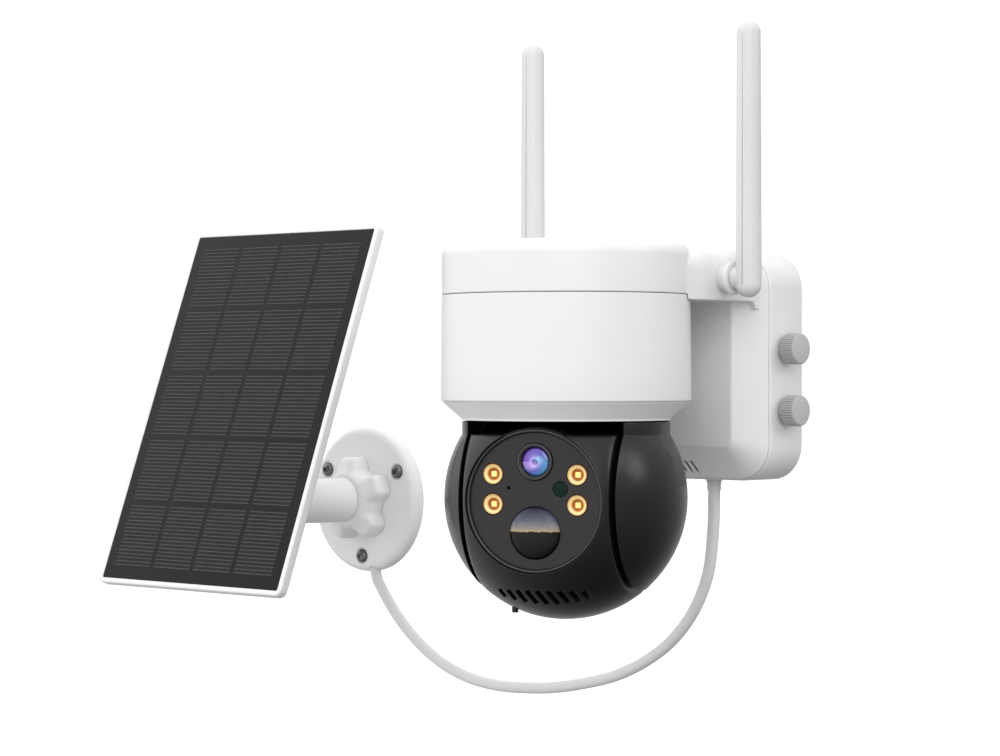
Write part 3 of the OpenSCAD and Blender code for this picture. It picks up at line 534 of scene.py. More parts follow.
MATERIALS = {
    "white_shell": moulded("white_shell", (0.76, 0.76, 0.765), 0.34, edge=0.5),
    "grey_skirt": moulded("grey_skirt", (0.86, 0.86, 0.86), 0.42),
    "black_shell": moulded("black_shell", (0.0065, 0.0065, 0.007), 0.27, grain=0.02, edge=0.7,
                           Specular_IOR_Level=0.36),
    "seal_rubber": moulded("seal_rubber", (0.05, 0.05, 0.052), 0.62, grain=0.1),
    "battery_wrap": moulded("battery_wrap", (0.05, 0.16, 0.36), 0.3),
    "inner_plastic": moulded("inner_plastic", (0.10, 0.10, 0.11), 0.5),
    "circuit_board": circuit_board(),
    "steel": metal("steel", (0.20, 0.195, 0.19), 0.30),
    "motor_metal": metal("motor_metal", (0.62, 0.62, 0.64), 0.3),
    "brass": metal("brass", (0.72, 0.50, 0.20), 0.28),
    "gear_nylon": moulded("gear_nylon", (0.74, 0.70, 0.60), 0.4),
    "face_grey": moulded("face_grey", (0.023, 0.0205, 0.021), 0.46, grain=0.03, edge=0.15,
                         Specular_IOR_Level=0.3),
    "bezel_grey": moulded("bezel_grey", (0.030, 0.030, 0.030), 0.24, grain=0.02, edge=0.2),
    "lens_glass": lens_glass(),
    "lamp_gold": lamp_gold(),
    "lamp_chip": moulded("lamp_chip", (1.0, 0.80, 0.24), 0.35, Emission_Strength=0.35,
                         Emission_Color=(1.0, 0.72, 0.22, 1)),
    "motion_dome": motion_dome(),
    "sensor_window": moulded("sensor_window", (0.001, 0.016, 0.008), 0.25, Specular_IOR_Level=0.12),
    "panel_glass": moulded("panel_glass", (0.0055, 0.0055, 0.006), 0.26, grain=0.01, edge=0.1,
                           Specular_IOR_Level=0.16),
    "solar_cells": solar_cells(),
    "cable_white": moulded("cable_white", (0.70, 0.70, 0.69), 0.42, grain_scale=900),
}
# painted light: the bracket's white is lighter than the same plastic elsewhere, standing in for light that
# the panel blocks from it
BRACKET_PAINTED_LIGHT_WHITE = moulded("bracket_white_painted_light", (0.88, 0.88, 0.885), 0.34, edge=0.5)
KNOB_GREY = moulded("knob_grey", (0.46, 0.46, 0.465), 0.4, edge=0.2)
ANTENNA_WHITE = moulded("antenna_white", (0.64, 0.64, 0.645), 0.38, edge=0.5)
LINE_METAL = cell_lines()
cable.data.materials.append(MATERIALS["cable_white"])


# ---- battery box ----

def box_outline(depth_inset):
    """Outline of the box this far inside its widest one; the bevel is taller along the bottom."""
    low = BEVEL_LOW * min(1, depth_inset / BEVEL) / 2
    corner = max(BOX_CORNER - depth_inset, 1.6)
    outline = round_rect(BOX_HALF_W - depth_inset, BOX_HALF_H - depth_inset - low, corner)
    return [(x, z + low) for x, z in outline]


def box_shell(name, steps):
    """Shell of the battery box from (inset, y) pairs, from its inner floor round to its outer end."""
    rings = [[(x, y, z) for x, z in box_outline(i)] for i, y in steps]
    return loft(name, rings)


def under_bevel(name, near, far, shallow, deep, half_width):
    """Block below the surface of the bottom bevel: from near to far up its slope, between two depths."""
    slope = Vector((-BEVEL, BEVEL + BEVEL_LOW)).normalized()
    inwards = Vector((slope.y, -slope.x))
    foot = Vector((-SLAB_DEPTH, -BOX_HALF_H))
    corners = ((near, shallow), (far, shallow), (far, deep), (near, deep))
    outline = [tuple(foot + slope * up + inwards * depth) for up, depth in corners]
    return prism(name, outline, -half_width, half_width, ALONG)


def make_box():
    """Battery box in two halves, the slots in its lower bevel with a dark sheet of painted shade behind
    them, and the cable boot.
    """
    soft = arc(6, -SLAB_DEPTH + 2.5, 6, 180, 225, 8)     # rounding between the side and the bevel
    seam = len(soft) // 2
    rear = [(WALL, PARTITION_Y), (WALL, -0.9), (WALL - 0.3, -0.55), (0.5, -0.5), (0.15, -0.65), (0, -1)]
    rear += soft[:seam + 1]
    rear += [(0.9, -SLAB_DEPTH + 0.02), (WALL + 0.4, -SLAB_DEPTH + 0.02), (WALL + 0.4, PARTITION_Y - WALL)]
    piece(box_shell("battery_box_rear", rear), "root", "white_shell", "battery_case_rear", "case_seal")

    inner = WALL * 1.42
    front = [(inner + BEVEL - WALL, FRONT_Y + WALL), (inner, -SLAB_DEPTH - 0.02), (0.9, -SLAB_DEPTH - 0.02)]
    front += [(soft[seam][0] + 0.03, soft[seam][1] - 0.06)] + soft[seam + 1:]
    front += arc(BEVEL + 0.74, FRONT_Y + 1.8, 1.8, 225, 270, 5)
    shell = box_shell("battery_box_front", front)
    slots = bmesh.new()
    for i in range(SLOT_COUNT):
        place = shift((i - (SLOT_COUNT - 1) / 2) * SLOT_PITCH, -29, -44) @ turn(SLOT_LEAN, "Y")
        add_loft(slots, prism_rings(round_rect(0.8, 2.3, 0.6, 4), -8, 6), place)
    combine(shell, under_bevel("recess", 3.4, 11.2, 0.8, 6, 15.5))
    combine(shell, from_mesh("slots", slots))
    piece(shell, "root", "white_shell", "battery_case_front")
    # painted shade: a dark rubber sheet just inside the slots stands in for the shade in the box's inside
    piece(under_bevel("slot_painted_shade", 3.5, 11.1, 0.85, 1.8, 15.4), "root", "seal_rubber")

    inner = CABLE_DIAMETER / 2 + 0.02
    boot = [(inner, -5.0), (3.0, -5.0), (3.1, -4.8), (3.15, -3.2), (2.98, -3.0), (2.98, -2.6), (3.25, -2.4)]
    boot += [(3.35, -0.9), (3.8, -0.6), (3.9, -0.3), (3.9, 0.4), (inner, 0.4)]
    place = shift(GLAND_AT[0], GLAND_AT[1], -BOX_HALF_H)
    piece(lathe("cable_boot", boot, place, 48, wrap=True), "root", "cable_white", "cable_gland")


def add_ribs(obj, boxes, place=Matrix()):
    """Join straight ribs that don't touch one another, each from one corner to the other."""
    ribs = bmesh.new()
    for low, high in boxes:
        add_loft(ribs, box_rings(low, high), place)
    combine(obj, from_mesh("ribs", ribs), "UNION")


def make_wall_plate():
    """Plate on the wall: raised rim, ribs on the wall side and countersunk screw holes."""
    outline = round_rect(BOX_HALF_W - 3.2, BOX_HALF_H - 3.2, BOX_CORNER - 3.2)
    plate = prism("wall_plate_finished", outline, 0, 3, OUTWARD, 0.5, 0.5)
    pocket = inset(outline, 3.0)
    combine(plate, prism("pocket", pocket, -1, 1.3, OUTWARD))
    ribs_at = (-40, -15, 15, 40)
    upright = [((k - 0.8, -1.7, -44), (k + 0.8, -0.3, 44)) for k in ribs_at]
    level = [((-45, -1.7, k - 0.8), (45, -0.35, k + 0.8)) for k in ribs_at]
    add_ribs(plate, upright)
    add_ribs(plate, level)
    boss = [(0, 0.1), (6.2, 0.1), (6.5, 0.4), (6.5, 2), (0, 2)]
    sink = [(0, -1), (BOLT_HOLE_R, -1), (BOLT_HOLE_R, 1.6), (4.4, 3.2), (4.4, 4), (0, 4)]
    for x in (-PLATE_HOLES, PLATE_HOLES):
        for z in (-PLATE_HOLES, PLATE_HOLES):
            place = shift(x, 0, z) @ OUTWARD
            combine(plate, lathe("boss", boss, place, 40), "UNION")
            combine(plate, lathe("hole", sink, place, 40))
    drill(plate, 9, -1, 5, OUTWARD, 48)
    flange = [(42, -2.8), (46.5, -2.8), (46.5, -19.9), (45.9, -20.5), (42.6, -20.5), (42, -19.9)]
    side = prism("flange", flange[::-1], -27, 16)
    for z in KNOB_ZS.values():
        drill(side, STEM_R + 0.06, 0, 9, shift(40, KNOB_Y, z) @ RIGHTWARD, 32)
    combine(plate, side, "UNION")
    piece(plate, "root", "white_shell", "wall_plate")


def knurl(r, depth, teeth=40):
    """Outline of a knurled bar with grooves of this depth."""
    points = []
    for i in range(teeth):
        for share, cut in ((0.0, 1.0), (0.22, 0.0), (0.62, 0.0), (0.84, 1.0)):
            a = 2 * math.pi * (i + share) / teeth
            points.append(((r - cut * depth) * math.cos(a), (r - cut * depth) * math.sin(a)))
    return points


def make_knobs():
    """Knurled hand knobs with eased ends, each on its stem with a small collar."""
    low = BOX_HALF_W + 1.5
    high = BOX_HALF_W + KNOB_LEN
    levels = [
        (low, KNOB_R - 0.9, 0.05), (low + 0.5, KNOB_R - 0.3, 0.3), (low + 0.9, KNOB_R, 0.5),
        (high - 0.9, KNOB_R, 0.5), (high - 0.4, KNOB_R - 0.2, 0.3), (high - 0.08, KNOB_R - 0.6, 0.03),
        (high, KNOB_R - 0.9, 0.0),
    ]
    rings = [[(x, y, level) for x, y in knurl(r, depth)] for level, r, depth in levels]
    stem = [(0, 38.3), (STEM_R - 0.4, 38.3), (STEM_R, 38.7), (STEM_R, 47), (3.5, 47), (3.5, 48),
            (STEM_R, 48), (STEM_R, low + 1), (0, low + 1)]
    for which, z in KNOB_ZS.items():
        place = shift(0, KNOB_Y, z) @ RIGHTWARD
        knob = loft("knob_" + which + "_grip", rings, place)
        combine(knob, lathe("stem", stem, place, 32), "UNION")
        piece(knob, "knob_" + which, "white_shell", "knob_" + which)
        knob.data.materials[0] = KNOB_GREY


# ---- top cover, housing and antennas ----

def arm_outline():
    """The arm and its round head from above, with a soft blend between them."""
    r_head = HOUSING_R_TOP - 0.4
    r_blend = 20
    x_blend = ARM_HALF_W + r_blend
    y_blend = PAN_Y + math.sqrt((r_head + r_blend) ** 2 - x_blend ** 2)
    lean = math.degrees(math.atan2(y_blend - PAN_Y, x_blend))
    right = arc(x_blend, y_blend, r_blend, 180, 180 + lean, 6)
    head = arc(0, PAN_Y, r_head, lean, -180 - lean, 72)
    left = arc(-x_blend, y_blend, r_blend, -lean, 0, 6)
    outline = [(ARM_HALF_W, -SLAB_DEPTH)] + right + head[1:-1] + left + [(-ARM_HALF_W, -SLAB_DEPTH)]
    return outline[::-1]


def make_cover():
    """Top cover: the arm, the round cap over the housing and the two blends under the arm."""
    rings = []
    outline = arm_outline()
    for inwards, z in ((0.3, ARM_BOTTOM_Z), (0, ARM_BOTTOM_Z + 0.3)):
        rings.append([(x, y, z) for x, y in inset(outline, inwards)])
    for px, pz in arc(ARM_ROUND, ARM_TOP_Z - ARM_ROUND, ARM_ROUND, 180, 90, 10):
        rings.append([(x, y, pz) for x, y in inset(outline, px)])
    cover = loft("cover", rings)
    cap = [(0, SEAM_Z + 0.15), (HOUSING_R_TOP - 0.3, SEAM_Z + 0.15), (HOUSING_R_TOP, SEAM_Z + 0.4)]
    cap += arc(HOUSING_R_TOP - CAP_ROUND, COVER_TOP_Z - CAP_ROUND, CAP_ROUND, 0, 90, 10)
    cap += [(0, COVER_TOP_Z)]
    combine(cover, lathe("cap", cap, AT_HOUSING, 144), "UNION")
    drill(cover, HOUSING_R_TOP + 0.35, 10, SEAM_Z + 0.15, AT_HOUSING, 144)
    y, z = -SLAB_DEPTH - 6 - ARM_FILLET, ARM_BOTTOM_Z - ARM_FILLET
    blend = [(-SLAB_DEPTH, ARM_BOTTOM_Z + 1), (-SLAB_DEPTH, z)]
    blend += arc(y, z, ARM_FILLET, 0, 90, 9) + [(y, ARM_BOTTOM_Z + 1)]
    for side in (-1, 1):
        middle = side * (ARM_HALF_W - 3.5)
        combine(cover, prism("blend", blend[::-1], middle - 3.45, middle + 3.45, ALONG), "UNION")
    piece(cover, "root", "white_shell", "top_cover", angle=22)


def make_housing():
    """Round pan housing and the grey skirt under it."""
    low, high = HOUSING_BOTTOM_Z, SEAM_Z
    r0, r1 = HOUSING_R_BOTTOM, HOUSING_R_TOP
    profile = [(HOUSING_BORE, high - 0.1), (r1 - 0.3, high - 0.1), (r1, high - 0.35)]
    profile += [(r0 - (r0 - r1) * t, low + 0.8 + (high - low - 1.2) * t) for t in (0.85, 0.6, 0.3, 0.0)]
    profile += arc(r0 - 0.8, low + 0.8, 0.8, 0, -90, 5)
    profile += [(42.6, low), (42.6, low + WALL), (HOUSING_BORE, low + WALL)]
    piece(lathe("housing", profile, AT_HOUSING, 160, wrap=True), "root", "white_shell", "pan_housing")

    top, bottom = HOUSING_BOTTOM_Z - 0.02, SKIRT_BOTTOM_Z
    inside, r_top, r_bottom = TURNTABLE_R + 1, HOUSING_R_BOTTOM - 0.8, NECK_R + 0.2
    skirt = [
        (inside, top), (r_top - 0.5, top), (r_top - 0.5, top - 0.35), (r_top - 0.1, top - 0.5),
        (r_bottom + 0.5, bottom + 1.0), (r_bottom + 0.28, bottom + 0.7), (r_bottom + 0.25, bottom + 0.35),
        (r_bottom + 0.1, bottom + 0.05), (r_bottom - 0.2, bottom), (inside, bottom),
    ]
    piece(lathe("skirt", skirt, AT_HOUSING, 160, wrap=True), "root", "grey_skirt", "skirt_ring")


def make_antennas():
    """Two antennas with a groove along each rod, and the collars that they fold on."""
    length = ANTENNA_TIP - ANTENNA_Z
    reach = ANTENNA_X - ARM_HALF_W - 7.2
    stem = [(0, -8.6)] + arc(0, -3.1, 5.5, -90, 0, 10)[1:]
    stem += [(5.5 - 0.38 * t, -3.1 + (length - 5.0 + 3.1) * t) for t in (0.25, 0.5, 0.75)]
    stem += arc(0, length - 5.1, 5.1, 0, 90, 10)
    boss = [(0, -6.8), (4.6, -6.8), (5.0, -6.8), (5.0, 0), (0, 0)]
    pin = [(0, -11), (2.7, -11), (3, -10.7), (3, -2), (0, -2)]
    collar = [
        (3.06, 1.5), (3.06, reach), (6.5, reach), (6.9, reach - 0.12), (7.2, reach - 0.4),
        (7.3, reach - 0.8), (7.3, 5.4), (7.1, 4.9), (6.8, 4.4), (5.6, 0.5), (5.2, 0.0), (4.0, 0.0),
    ]
    for side, which in ((-1, "left"), (1, "right")):
        mirror = Matrix.Scale(side, 4, (1, 0, 0))
        place = mirror @ shift(ANTENNA_X, ANTENNA_Y, ANTENNA_Z)
        rod = lathe("antenna_" + which + "_rod", stem, place, 64)
        groove = bmesh.new()
        for lean in (-84, 96):
            turned = shift(side * ANTENNA_X, ANTENNA_Y, ANTENNA_Z) @ turn(lean)
            add_loft(groove, box_rings((5.0, -0.16, -3), (6.5, 0.16, length - 6)), turned)
        combine(rod, from_mesh("groove", groove))
        combine(rod, lathe("boss", boss, place @ RIGHTWARD, 48), "UNION")
        combine(rod, lathe("pin", pin, place @ RIGHTWARD, 32), "UNION")
        piece(rod, "antenna_" + which, "white_shell", "antenna_" + which)
        rod.data.materials[0] = ANTENNA_WHITE

        collar_place = mirror @ shift(ARM_HALF_W, ANTENNA_Y, ANTENNA_Z) @ RIGHTWARD
        node = () if side < 0 else ("antenna_collars",)
        piece(lathe("collar_" + which, collar, collar_place, 72, wrap=True), "root", "white_shell", *node)


# ---- ball: ears and head ----

def make_ears():
    """Each ear is half a ball turned about the tilt axis, joined to the neck above it."""
    edge = 1.3
    r_in = math.sqrt(BALL_R ** 2 - EAR_IN ** 2)
    start = math.degrees(math.asin((EAR_IN + edge) / BALL_R))
    ball = [(0, EAR_IN), (r_in - edge - 0.3, EAR_IN), (r_in - edge * 0.55, EAR_IN + 0.12),
            (r_in - edge * 0.2, EAR_IN + 0.45)]
    ball += arc(0, 0, BALL_R, start, 90, 22)
    half = math.sqrt(NECK_R ** 2 - EAR_IN ** 2)
    sweep = math.degrees(math.atan2(half, EAR_IN))
    neck = arc(0, 0, NECK_R, -sweep + 2.2, sweep - 2.2, 24)
    neck += [(EAR_IN + 0.55, half - 0.85), (EAR_IN + 0.15, half - 1.5), (EAR_IN, half - 2.2)]
    neck += [(EAR_IN, 2.2 - half), (EAR_IN + 0.15, 1.5 - half), (EAR_IN + 0.55, 0.85 - half)]
    neck_top = SKIRT_BOTTOM_Z - 0.5 - TILT_Z
    for side, which in ((-1, "left"), (1, "right")):
        facing = Matrix.Identity(4) if side > 0 else turn(180)
        ear = lathe("ear_" + which, ball, AT_TILT @ facing @ RIGHTWARD, 160)
        upper = prism("neck", neck, 8, neck_top, AT_TILT @ facing, 0, 0.4)
        combine(ear, upper, "UNION")
        piece(ear, "yoke", "black_shell", which + "_ear_cover", angle=28)
    low, high = TURNTABLE_Z, TURNTABLE_Z + 4
    plate = [(0, low), (37.2, low), (37.5, low - 0.5), (37.8, low - 0.8), (40.5, low - 0.8),
             (TURNTABLE_R, low - 0.5), (TURNTABLE_R, high), (0, high)]
    piece(lathe("turntable", plate, AT_PAN, 144), "yoke", "black_shell", "yoke")


def head_region():
    """Side outline of the head: flat shoulder in front, drum above the axis, ball below."""
    lean = math.degrees(math.asin(SHOULDER_Z / DRUM_R))
    end = math.radians(SHOULDER_BACK)
    outline = arc(0, 0, DRUM_R, 180 - lean, -(180 - SHOULDER_BACK), 28)[::-1]
    outline += [(-70, SHOULDER_Z), (-70, -70), (0, -70), (-70 * math.cos(end), -70 * math.sin(end))]
    return outline


def make_head():
    """Ball between the ears, with the face's pocket, speaker vents and holes; and the push button."""
    edge = 0.9
    rim = math.sqrt(BALL_R ** 2 - HEAD_HALF_W ** 2)
    start = math.degrees(math.asin((HEAD_HALF_W - edge) / BALL_R))
    side = [(0, HEAD_HALF_W), (rim - edge * 0.75, HEAD_HALF_W), (rim - edge * 0.2, HEAD_HALF_W - 0.2)]
    profile = side + arc(0, 0, BALL_R, start, -start, 30) + [(r, -x) for r, x in reversed(side)]
    head = lathe("head_shell", profile, AT_TILT @ RIGHTWARD, 176)
    region = prism("region", head_region(), -60, 60, AT_TILT @ ALONG)
    combine(head, region, "INTERSECT")

    fillet = 2.5
    reach = math.sqrt((BALL_R - fillet) ** 2 - (SHOULDER_Z - fillet) ** 2)
    rise = math.degrees(math.atan2(SHOULDER_Z - fillet, reach))
    rounding = arc(reach, SHOULDER_Z - fillet, fillet, 90, rise, 8)
    rounding += [(reach + 12, rounding[-1][1] + 6), (reach + 12, 42), (reach, 42)]
    combine(head, lathe("rounding", rounding, AT_TILT, 160, wrap=True))

    ring_r = POCKET_R + 0.7
    ring = arc(0, 0, ring_r, 0, 360, 120)[:-1]
    front = math.sqrt((BALL_R - 0.4) ** 2 - ring_r ** 2)
    combine(head, prism("ring", ring, FACE_D - 7, front, face_place(0, 0, FACE_D), 0, 0.35), "UNION")
    r = POCKET_R
    pocket = [(0, -4), (r, -4), (r, 0.9), (r + 0.3, 1.35), (r + 0.3, 20), (0, 20)]
    combine(head, lathe("pocket", pocket, face_place(0, 0), 144))

    vents = bmesh.new()
    for i in range(VENT_COUNT):
        k = i - (VENT_COUNT - 1) / 2
        place = AT_TILT @ shift(k * VENT_PITCH + VENT_X, -42, VENT_Z) @ turn(-22, "Y")
        add_loft(vents, box_rings((-1.2, -14, 0.16 * k * k - 3.4), (1.2, 18, 3)), place)
    combine(head, from_mesh("vents", vents))

    gear_room, pinion_room, gear_end = 16, 8, 40
    drill(head, BUTTON_R + 0.1, -60, -38, AT_TILT @ shift(*BUTTON_AT), 64)
    drill(head, gear_room, GEAR_X, gear_end, AT_TILT @ RIGHTWARD, 64)
    pinion = math.radians(PINION_AT)
    y, z = -TILT_CENTRES * math.cos(pinion), -TILT_CENTRES * math.sin(pinion)
    drill(head, pinion_room, GEAR_X, gear_end, AT_TILT @ shift(0, y, z) @ RIGHTWARD, 48)
    seam_r = math.sqrt(BALL_R ** 2 - 64)
    seam = [(seam_r - 0.35, -0.15), (seam_r + 3, -0.15), (seam_r + 3, 0.15), (seam_r - 0.35, 0.15)]
    combine(head, lathe("seam", seam, AT_TILT @ shift(0, 8, 0) @ OUTWARD, 144, wrap=True))
    for x, z in HEAD_SCREWS:
        drill(head, 2.8, -60, -24.9, AT_TILT @ shift(x, 0, z) @ OUTWARD)
    piece(head, "head", "black_shell", "head_front_shell", "head_rear_cover", angle=26)

    nub = [(0, -49.4), (BUTTON_R - 0.3, -49.4), (BUTTON_R, -49.1), (BUTTON_R, -42), (0, -42)]
    button = lathe("reset_nub", nub, AT_TILT @ shift(*BUTTON_AT), 40)
    piece(button, "reset_button", "black_shell", "reset_button")


def make_face():
    """Face plate with its rim, lens, four lamps, motion sensor and light sensor."""
    place = face_place(0, 0)
    disc = [(0, -2.6), (DISC_R, -2.6), (DISC_R, -0.25), (DISC_R - 0.25, 0), (0, 0)]
    plate = lathe("face_disc", disc, place, 144)
    holes = [(0, LENS_V, LENS_R + 0.1), (*SENSOR_AT, SENSOR_R + 0.05)]
    holes += [(*MIC_AT, 0.7), (0, MOTION_V, MOTION_R + 0.1)]
    holes += [(u, v, LAMP_R + 0.1) for u in (-LAMP_U, LAMP_U) for v in LAMP_VS]
    for u, v, r in holes:
        cutter = [(0, -5), (r, -5), (r, -0.25), (r + 0.3, 0.05), (r + 0.3, 2), (0, 2)]
        combine(plate, lathe("hole", cutter, face_place(u, v), 64))
    piece(plate, "head", "face_grey", "face_plate")

    rim = [
        (DISC_R + 0.02, -3), (POCKET_R, -3), (POCKET_R, 1.0), (POCKET_R - 0.15, 1.3),
        (POCKET_R - 0.45, 1.4), (DISC_R + 0.35, 1.3), (DISC_R + 0.1, 1.0), (DISC_R + 0.02, 0.4),
    ]
    piece(lathe("face_rim", rim, place, 144, wrap=True), "head", "bezel_grey", "face_bezel")

    lens = face_place(0, LENS_V)
    barrel = [(0, -6), (LENS_R, -6), (LENS_R, 0.5)] + arc(LENS_R - 0.4, 0.5, 0.4, 0, 90, 4)
    barrel += [(LENS_R - 0.9, 0.9), (LENS_R - 1.1, 0.7)]
    for i in range(3):
        r = LENS_R - 1.15 - 0.16 * i
        barrel += [(r, 0.5 - 0.4 * i), (r, 0.15 - 0.4 * i)]
    barrel += [(LENS_R - 1.55, -1.0), (LENS_R - 1.55, -4), (0, -4)]
    piece(lathe("lens_ring", barrel, lens, 96), "head", "bezel_grey", "lens_barrel")
    r = LENS_R - 1.6
    glass = [(0, -3.9), (r, -3.9), (r, -1.2)]
    glass += dome(r, -1.2, 1.6, 8, 8) + [(0, 0.4)]
    front = lathe("lens_front", glass, lens, 96)
    map_disc(front, lens, r)
    piece(front, "head", "lens_glass", "lens_glass")

    r = LAMP_R
    cup = [(0, -3), (r, -3), (r, 0.1), (r - 0.1, 0.3), (r - 0.35, 0.32), (r - 0.55, 0.15),
           (r - 0.75, -0.35), (2.35, -0.85), (2.05, -1.1), (1.9, -1.6), (0, -1.6)]
    for side, u in (("left", -LAMP_U), ("right", LAMP_U)):
        for number, v in enumerate(LAMP_VS, 1):
            at = face_place(u, v)
            which = "_" + side + "_" + str(number)
            first = which == "_left_1"
            lamp = lathe("lamp" + which, cup, at, 56)
            map_disc(lamp, at, r)
            piece(lamp, "head", "lamp_gold", *(("lamp_reflectors",) if first else ()))
            chip = prism("chip" + which, round_rect(1.15, 1.15, 0.3, 4), -1.7, -1.0, at, 0, 0.2)
            piece(chip, "head", "lamp_chip", *(("lamp_chips",) if first else ()))

    at = face_place(0, MOTION_V)
    r = MOTION_R
    profile = [(0, -3), (r, -3), (r, -0.2)] + dome(r, -0.2, 3.6, 6, 6) + [(0, 3.4)]
    cap = lathe("motion_lens", profile, at, 96)
    map_disc(cap, at, r)
    piece(cap, "head", "motion_dome", "motion_dome")

    at = face_place(*SENSOR_AT)
    r = SENSOR_R
    window = [(0, -2.6), (r, -2.6), (r, -0.35), (r - 0.15, -0.2), (r - 1, -0.12), (0, -0.08)]
    piece(lathe("sensor_disc", window, at, 56), "head", "sensor_window", "light_sensor")


# ---- solar bracket and panel ----

def lobes(low, high, steps=150):
    """Outline of a five-lobed grip between two radii."""
    points = []
    for i in range(steps):
        a = 2 * math.pi * i / steps
        c = math.cos(5 * (a - math.radians(NUT_PHASE)))
        t = max(0.0, min(1.0, (c + 0.75) / 1.35))
        r = low + (high - low) * t * t * (3 - 2 * t)
        points.append((r * math.cos(a), r * math.sin(a)))
    return points


def make_bracket():
    """Wall base with its screws, the clamping nut and the round arm with its hinge eye."""
    shoulder = arc(BASE_R - 4.5, BASE_T - 4.5, 4.5, 0, 90, 8)
    base = [(0, 0.3), (BASE_R - 3, 0.3), (BASE_R - 2.6, 0), (BASE_R - 0.3, 0), (BASE_R, 0.3)] + shoulder
    base += [(THREAD_R + 1.2, BASE_T), (THREAD_R + 0.3, BASE_T + 0.3), (THREAD_R, BASE_T + 1)]
    base += [(THREAD_R, 16.8), (THREAD_R - 0.6, 17.4), (0, 17.4)]
    foot = lathe("bracket_base", base, AT_BRACKET, 144)
    socket = [(0, 4), (12.1, 4), (12.1, 8), (9.56, 8), (9.56, 20), (0, 20)]
    combine(foot, lathe("socket", socket, AT_BRACKET, 64))
    top = BASE_T + 0.5
    hole = [(0, -1), (2.1, -1), (2.1, BASE_T - 0.5), (4.0, BASE_T - 0.4), (4.3, top), (0, top)]
    for a in SCREW_SPINS:
        combine(foot, lathe("hole", hole, AT_BRACKET @ turn(a) @ shift(BASE_SCREW_R), 40))
    exit_place = AT_BRACKET @ turn(CABLE_TURN) @ shift(0, -30, CABLE_OUT) @ turn(90, "X")
    drill(foot, CABLE_DIAMETER / 2 + 0.15, 0, 12, exit_place)
    piece(foot, "root", "white_shell", "solar_base")

    screws = bmesh.new()
    head = [(0, 0.3 - BASE_T), (1.9, 0.3 - BASE_T), (1.9, 0), (3.45, 0), (3.5, 0.35)]
    head += dome(3.4, 0.5, 2.2, 6, 9) + [(0, 2.7)]
    for a in SCREW_SPINS:
        add_loft(screws, lathe_rings(head, 48), AT_BRACKET @ turn(a) @ shift(BASE_SCREW_R, 0, BASE_T - 0.4))
    heads = from_mesh("bracket_screws", screws)
    for a, spin in SCREW_SPINS.items():
        for extra, low in ((0, 1.35), (90, 1.395)):
            place = AT_BRACKET @ turn(a) @ shift(BASE_SCREW_R, 0, BASE_T - 0.4) @ turn(spin + extra)
            sizes = ((1.25, 0.3, low), (2.2, 0.45, 4))
            rings = [[(-x, -y, z), (x, -y, z), (x, y, z), (-x, y, z)] for x, y, z in sizes]
            combine(heads, loft("cross", rings, place))
    piece(heads, "root", "steel", "base_screws")

    inner = THREAD_R + 0.06
    levels = [
        (0, 15.3, 20.9), (0.4, 15.6, 21.4), (0.9, 15.7, 21.6), (7.6, 15.7, 21.4),
        (8.6, 15.6, 21.0), (9.3, 15.4, 20.2), (9.9, 15.1, 18.9), (10.7, 14.7, 17.0),
        (11.6, 14.2, 15.4), (12.4, 13.6, 14.1), (13.0, 13.0, 13.2), (13.2, 12.5, 12.6),
    ]
    rings = [[(x, y, NUT_BACK + up) for x, y in lobes(low, high)] for up, low, high in levels]
    nut = loft("clamp_nut_lobed", rings, AT_BRACKET)
    bore = [(0, 0), (inner, 0), (inner, 17.8), (9.9, 17.8), (9.9, 30), (0, 30)]
    combine(nut, lathe("bore", bore, AT_BRACKET, 72))
    piece(nut, "clamp_nut", "white_shell", "clamp_nut", angle=40)

    taper, back, lip = 0.8, 7.6, NUT_FRONT + 0.3
    arm = [(0, 5), (11.8, 5), (11.8, back), (9.5, back), (9.5, lip), (ARM_R - 0.5, lip),
           (ARM_R, lip + 0.5), (ARM_R - taper / 2, 45), (ARM_R - taper, ARM_END - 3)]
    arm += arc(ARM_R - taper - 4, ARM_END - 2, 4, 0, 80, 6) + [(0, ARM_END + 2)]
    rod = lathe("bracket_rod", arm, AT_BRACKET, 96)
    eye = [(-6.5, ARM_END - 4), (6.5, ARM_END - 4)] + arc(0, HINGE_REACH, 6.5, 0, 180, 16)
    combine(rod, prism("eye", eye, -5, 5, AT_BRACKET @ ALONG, 0.5, 0.5), "UNION")
    drill(rod, 3.06, -10, 10, AT_BRACKET @ shift(0, 0, HINGE_REACH) @ RIGHTWARD)
    piece(rod, "bracket_arm", "white_shell", "bracket_arm")
    # the lighter white is painted light, making up for the light that the panel blocks
    for part in (foot, nut, rod):
        part.data.materials[0] = BRACKET_PAINTED_LIGHT_WHITE


def panel_rings(steps, corner=3.6):
    """Rings of a rounded panel from (inset, y) pairs, in the panel's own frame."""
    rings = []
    for i, y in steps:
        outline = round_rect(PANEL_W - i, PANEL_H - i, max(corner - i, 0.9), 8)
        rings.append([(x, y, z + PANEL_RISE) for x, z in outline])
    return rings


